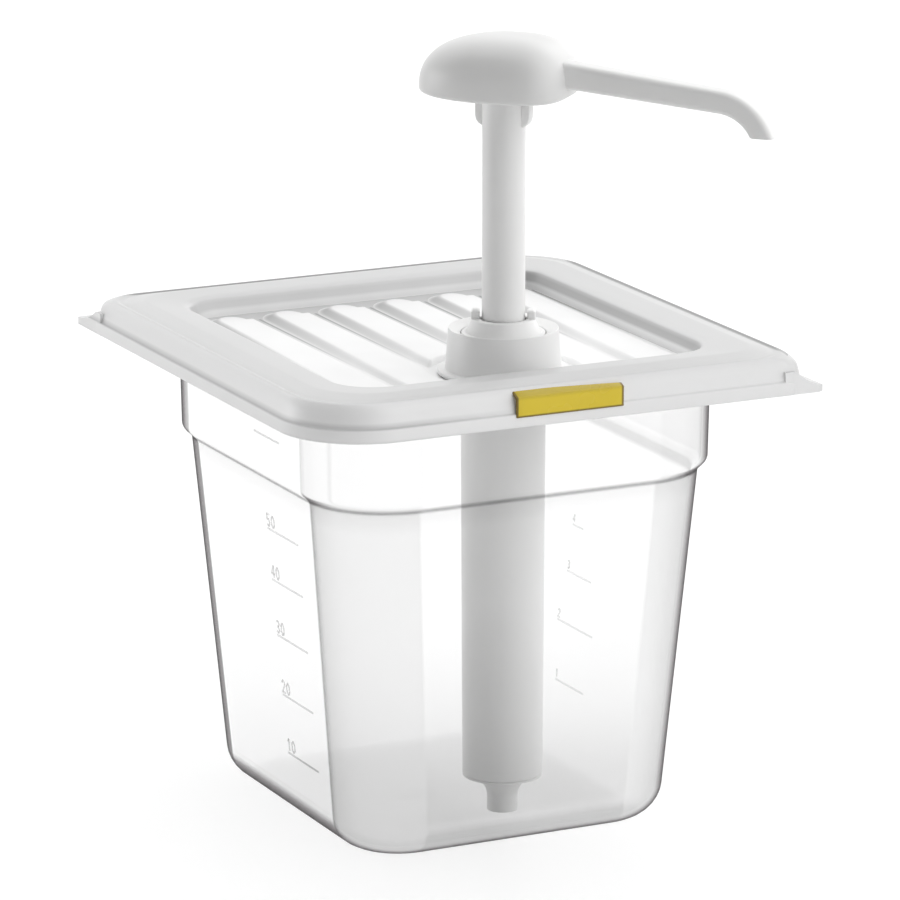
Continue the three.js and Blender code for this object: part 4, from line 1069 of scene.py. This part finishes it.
cap_profile = [
    (CAP_BORE, CAP_BOTTOM),
    (CAP_SLEEVE, CAP_BOTTOM),
    (CAP_SLEEVE, CAP_FLANGE_BOTTOM),
    (CAP_FLANGE, CAP_FLANGE_BOTTOM),
    (CAP_FLANGE, CAP_FLANGE_TOP),
    (CAP_WAIST, CAP_FLANGE_TOP),
    (CAP_WAIST, CONE_BOTTOM),
    (CONE_LOW, CONE_BOTTOM),
    (CONE_HIGH, CAP_TOP),
    (CAP_MOUTH, CAP_TOP),
    (CAP_MOUTH, WIPER_TOP),
    (WIPER_SEAT, WIPER_TOP),
    (WIPER_SEAT, WIPER_BOTTOM),
    (CAP_MOUTH, WIPER_BOTTOM),
    (CAP_MOUTH, CAP_ROOF),
    (CAP_BORE, CAP_ROOF),
]
claws = [claw(CLAW_TURN), claw(CLAW_TURN + math.pi)]
white_lathe("cap_body", cap_profile, ["guide_cap"], soft=0.3, extra=claws)

trumpet = []
for step in range(TRUMPET_STEPS + 1):
    a = step / TRUMPET_STEPS * math.pi / 2
    flare = (CYLINDER_END - FOOT_NECK) * (1 - math.cos(a))
    trumpet.append((FOOT_NECK + flare, TRUMPET_BOTTOM + TRUMPET_RISE * math.sin(a)))
foot_profile = [
    (FOOT_BORE, FOOT_BOTTOM),
    (FOOT_NECK, FOOT_BOTTOM),
    *trumpet,
    (CYLINDER_END, FOOT_SHOULDER),
    (SEAL_SEAT, FOOT_SHOULDER),
    (SEAL_SEAT, SEAL_TOP),
    (FOOT_PLUG, SEAL_TOP),
    (FOOT_PLUG, FOOT_TOP),
    (BALL_BORE, FOOT_TOP),
    (BALL_BORE, BALL_SEAT),
    (FOOT_BORE, BALL_SEAT),
]
white_lathe("foot_body", foot_profile, ["inlet_foot"], soft=0.1)


def coil_shape(steps=28, sides=12):
    """The return spring's wire."""
    wire = SPRING_WIRE / 2
    count = SPRING_TURNS * steps
    rings = []
    for step in range(count + 1):
        share = step / count
        z = SPRING_BOTTOM + wire + (SPRING_LENGTH - SPRING_WIRE) * share
        angle = share * SPRING_TURNS * 2 * math.pi
        ring = []
        for side in range(sides):
            a = 2 * math.pi * side / sides
            r = SPRING_RADIUS + wire * math.cos(a)
            ring.append((r * math.cos(angle), r * math.sin(angle), z - wire * math.sin(a)))
        rings.append(ring)
    return skin(rings)


spring = pump_piece("spring_coil", coil_shape(), steel, "lid_unit", ["return_spring"])
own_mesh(spring)


def lug(sign):
    """A lug under the head, swept across its width, with a ramp at its lower end."""
    outline = [
        (LUG_ROOT, LUG_BOTTOM),
        (LUG_REACH - 2.1, LUG_BOTTOM),
        (LUG_REACH - 1, LUG_BOTTOM + 0.7),
        (LUG_REACH - 0.3, LUG_BOTTOM + 1.7),
        (LUG_REACH, LUG_BOTTOM + LUG_RAMP),
        (LUG_REACH, LUG_TOP - 1.6),
        (LUG_REACH - 0.5, LUG_TOP - 0.5),
        (LUG_REACH - 1.3, LUG_TOP),
        (LUG_ROOT, LUG_TOP),
    ]
    bevel = [(LUG_HALF, 0.5), (LUG_HALF - 0.15, 0.15), (LUG_HALF - 0.5, 0)]
    rings = []
    for y, inset in [(-y, inset) for y, inset in bevel] + bevel[::-1]:
        ring = []
        for r, z in outline:
            reach = r if r == LUG_ROOT else r - inset
            ring.append((sign * reach, sign * y, z + (inset if z <= LUG_BOTTOM + LUG_RAMP else -inset)))
        rings.append(ring[::-1])
    return skin(rings)


stem = joined(tube(STEM_BORE, STEM_RADIUS, STEM_BOTTOM, STEM_TOP), lug(1), lug(-1))
pump_piece("stem_tube", stem, white_plastic, "plunger", ["stem"], SPOUT_TURN)


def head_ring(share, inset, sink=0.0):
    """A level ring of the head's dome, a share of the way up; the dome's rear is rounder than its front."""

    def reach(full, power):
        return (full - inset) * (1 - share**power) ** (1 / power)

    rear, ahead = reach(HEAD_REAR, REAR_POWER), reach(HEAD_FRONT, FRONT_POWER)
    side = reach(HEAD_SIDE, FRONT_POWER)
    z = HEAD_BOTTOM + HEAD_RIM_HEIGHT + (HEAD_HEIGHT - HEAD_RIM_HEIGHT - sink) * share
    ring = []
    for k in range(SIDES):
        a = 2 * math.pi * k / SIDES
        c, s = math.cos(a), math.sin(a)
        plan = 2 / (FRONT_PLAN_POWER if c > 0 else REAR_PLAN_POWER)
        x = math.copysign(abs(c) ** plan, c) * (ahead if c > 0 else rear)
        ring.append((x, math.copysign(abs(s) ** plan, s) * side, z))
    return ring


def lowered(ring, drop):
    return [(x, y, z - drop) for x, y, z in ring]


def head_shape():
    dome_steps, rim_steps, top_share = 30, 6, 0.9993
    shares = [math.sin(k / dome_steps * math.pi / 2) for k in range(dome_steps)] + [top_share]
    outer = []
    for k in range(rim_steps):
        a = k / rim_steps * math.pi / 2
        outer.append(lowered(head_ring(0, HEAD_RIM_INSET * (1 - math.sin(a))), HEAD_RIM_HEIGHT * math.cos(a)))
    outer += [head_ring(s, 0) for s in shares]
    inner = [lowered(head_ring(0, HEAD_RIM_INSET + HEAD_LIP), HEAD_RIM_HEIGHT * 0.9)]
    inner += [head_ring(s, HEAD_WALL + HEAD_LIP, HEAD_WALL) for s in shares[2:]]
    return skin(inner[::-1] + outer)


def spout_place(reach):
    return (reach, HEAD_BOTTOM + SPOUT_RISE - (reach - SPOUT_ROOT) * math.tan(SPOUT_DROP))


def spout_ring(cx, cz, angle, margin, steps=6):
    """The spout's section at a place on its path, grown by a margin."""
    run = SPOUT_BEND + SPOUT_BEND_RADIUS - SPOUT_ROOT
    share = min(1.0, max(0.0, (cx - SPOUT_ROOT) / run))
    height = SPOUT_HEIGHT + (TIP_HEIGHT - SPOUT_HEIGHT) * share + margin * 2
    width = SPOUT_WIDTH + (TIP_WIDTH - SPOUT_WIDTH) * share + margin * 2
    corner = max(SPOUT_CORNER + margin, LEAST_CORNER)
    ring = []
    for quarter, (side_a, side_u) in enumerate([(1, 1), (-1, 1), (-1, -1), (1, -1)]):
        for k in range(steps + 1):
            t = (quarter + k / steps) * math.pi / 2
            across = side_a * (width / 2 - corner) + corner * math.cos(t)
            up = side_u * (height / 2 - corner) + corner * math.sin(t)
            ring.append((cx + math.sin(angle) * up, across, cz + math.cos(angle) * up))
    return ring


def spout_stops():
    """Places and slopes along the spout: straight out, then round its bend."""
    straight_steps, bend_steps = 8, 18
    stops = []
    for k in range(straight_steps + 1):
        x, z = spout_place(SPOUT_ROOT + (SPOUT_BEND - SPOUT_ROOT) * k / straight_steps)
        stops.append((x, z, SPOUT_DROP * smooth(k / 2)))
    bend_x, bend_z = spout_place(SPOUT_BEND)
    for k in range(1, bend_steps + 1):
        a = SPOUT_DROP + (SPOUT_TIP_ANGLE - SPOUT_DROP) * k / bend_steps
        x = bend_x + SPOUT_BEND_RADIUS * (math.sin(a) - math.sin(SPOUT_DROP))
        z = bend_z - SPOUT_BEND_RADIUS * (math.cos(SPOUT_DROP) - math.cos(a))
        stops.append((x, z, a))
    return stops


def spout_tube(margin):
    """The spout's rings, ending where the tip is cut off level."""
    rings = [spout_ring(x, z, a, margin) for x, z, a in spout_stops()]
    kept = [r for r in rings if min(z for _, _, z in r) > SPOUT_TIP_LEVEL + 0.15]
    down = 1 / math.tan(SPOUT_TIP_ANGLE)
    kept.append([(x + (z - SPOUT_TIP_LEVEL) * down, y, SPOUT_TIP_LEVEL) for x, y, z in kept[-1]])
    return kept


def sleeve_rings(margin):
    return [spout_ring(*spout_place(reach), 0, margin) for reach in SLEEVE_ENDS]


boss = tube(BOSS_BORE, BOSS_RADIUS, BOSS_BOTTOM, BOSS_TOP, 3)
sleeve = skin(sleeve_rings(SLEEVE_WALL) + sleeve_rings(SLEEVE_PLAY)[::-1], closed=True)
head = joined(head_shape(), boss, sleeve)
pump_piece("head_body", head, shaded_head_white, "plunger", ["pump_head"], SPOUT_TURN)
spout = skin(spout_tube(0) + spout_tube(-SPOUT_WALL)[::-1], closed=True)
pump_piece("spout_body", spout, shaded_spout_white, "plunger", ["pump_spout"], SPOUT_TURN)

# Floor, light and camera, in metres and degrees

FLOOR_HALF = 9
FLOOR_LEVEL = -0.0002
CAMERA_PLACE = (-0.74899, -1.54918, 0.55558)
CAMERA_DOWN = 14.37
CAMERA_TURN = -25.89
# The sky's brightness rises along a slope from its middle value, between two limits
SKY_SLOPE = (5.13, 2.05, -0.91)
SKY_MIDDLE = 3.43
SKY_LEAST = 0.05
SKY_MOST = 1.32


def floor_paper():
    """Pale paper; to the camera and in mirrored views it is white."""
    material, tree = blank("floor_paper")
    rays = node(tree, "ShaderNodeLightPath").outputs
    seen = calc("MAXIMUM", rays["Is Camera Ray"], rays["Is Glossy Ray"])
    plain = ramp(noise(tree, 3), [(0.3, 0.81), (0.7, 0.83)])
    colour = blend(seen, plain, rgba(0.55))
    shader = node(tree, "ShaderNodeBsdfPrincipled", {"Base Color": colour, "Roughness": 0.6})
    glow = node(tree, "ShaderNodeEmission", {"Color": rgba(1), "Strength": spread(seen, 0.0, 0.5)})
    show(node(tree, "ShaderNodeAddShader", {0: shader.outputs[0], 1: glow.outputs[0]}))
    return material


floor_mesh = bpy.data.meshes.new("floor")
corners = [(x * FLOOR_HALF, y * FLOOR_HALF, 0) for x, y in ((-1, -1), (1, -1), (1, 1), (-1, 1))]
floor_mesh.from_pydata(corners, [], [(0, 1, 2, 3)])
floor = bpy.data.objects.new("floor", floor_mesh)
floor.location.z = FLOOR_LEVEL
bpy.context.scene.collection.objects.link(floor)
floor_mesh.materials.append(floor_paper())


def studio_sky():
    """White to the camera; as light, it is brightest towards the rear right, where the window is."""
    world = bpy.data.worlds.new("studio")
    bpy.context.scene.world = world
    world.use_nodes = True
    tree = world.node_tree
    tree.nodes.clear()
    direction = node(tree, "ShaderNodeTexCoord").outputs["Generated"]
    slope = {0: direction, 1: SKY_SLOPE}
    lean = node(tree, "ShaderNodeVectorMath", slope, operation="DOT_PRODUCT").outputs["Value"]
    level = calc("MAXIMUM", calc("ADD", lean, SKY_MIDDLE), SKY_LEAST)
    level = calc("MINIMUM", level, SKY_MOST)
    light = node(tree, "ShaderNodeBackground", {"Color": rgba(1), "Strength": level})
    white = node(tree, "ShaderNodeBackground", {"Color": rgba(1), "Strength": 1.0})
    camera_ray = node(tree, "ShaderNodeLightPath").outputs["Is Camera Ray"]
    seen = node(tree, "ShaderNodeMixShader", {0: camera_ray, 1: light.outputs[0], 2: white.outputs[0]})
    node(tree, "ShaderNodeOutputWorld", {"Surface": seen.outputs[0]})


def area_light(name, place, target, size, power):
    data = bpy.data.lights.new(name, "AREA")
    data.shape = "RECTANGLE"
    data.size, data.size_y = size
    data.energy = power
    lamp = bpy.data.objects.new(name, data)
    bpy.context.scene.collection.objects.link(lamp)
    lamp.location = place
    lamp.rotation_euler = (Vector(target) - Vector(place)).to_track_quat("-Z", "Y").to_euler()


studio_sky()
area_light("right_soft", (1.5, 0.9, 0.9), (0, 0, 0.15), (1.0, 1.2), 2)
area_light("left_soft", (-1.6, 1.1, 0.3), (0, 0, 0.12), (1.2, 0.5), 6)

camera_data = bpy.data.cameras.new("camera")
camera_data.sensor_width = 36
camera_data.lens = 222.26
camera_data.clip_end = 60
camera = bpy.data.objects.new("camera", camera_data)
bpy.context.scene.collection.objects.link(camera)
camera.location = CAMERA_PLACE
camera.rotation_euler = (math.radians(90 - CAMERA_DOWN), 0, math.radians(CAMERA_TURN))
bpy.context.scene.camera = camera
bpy.context.scene.view_settings.view_transform = "Standard"
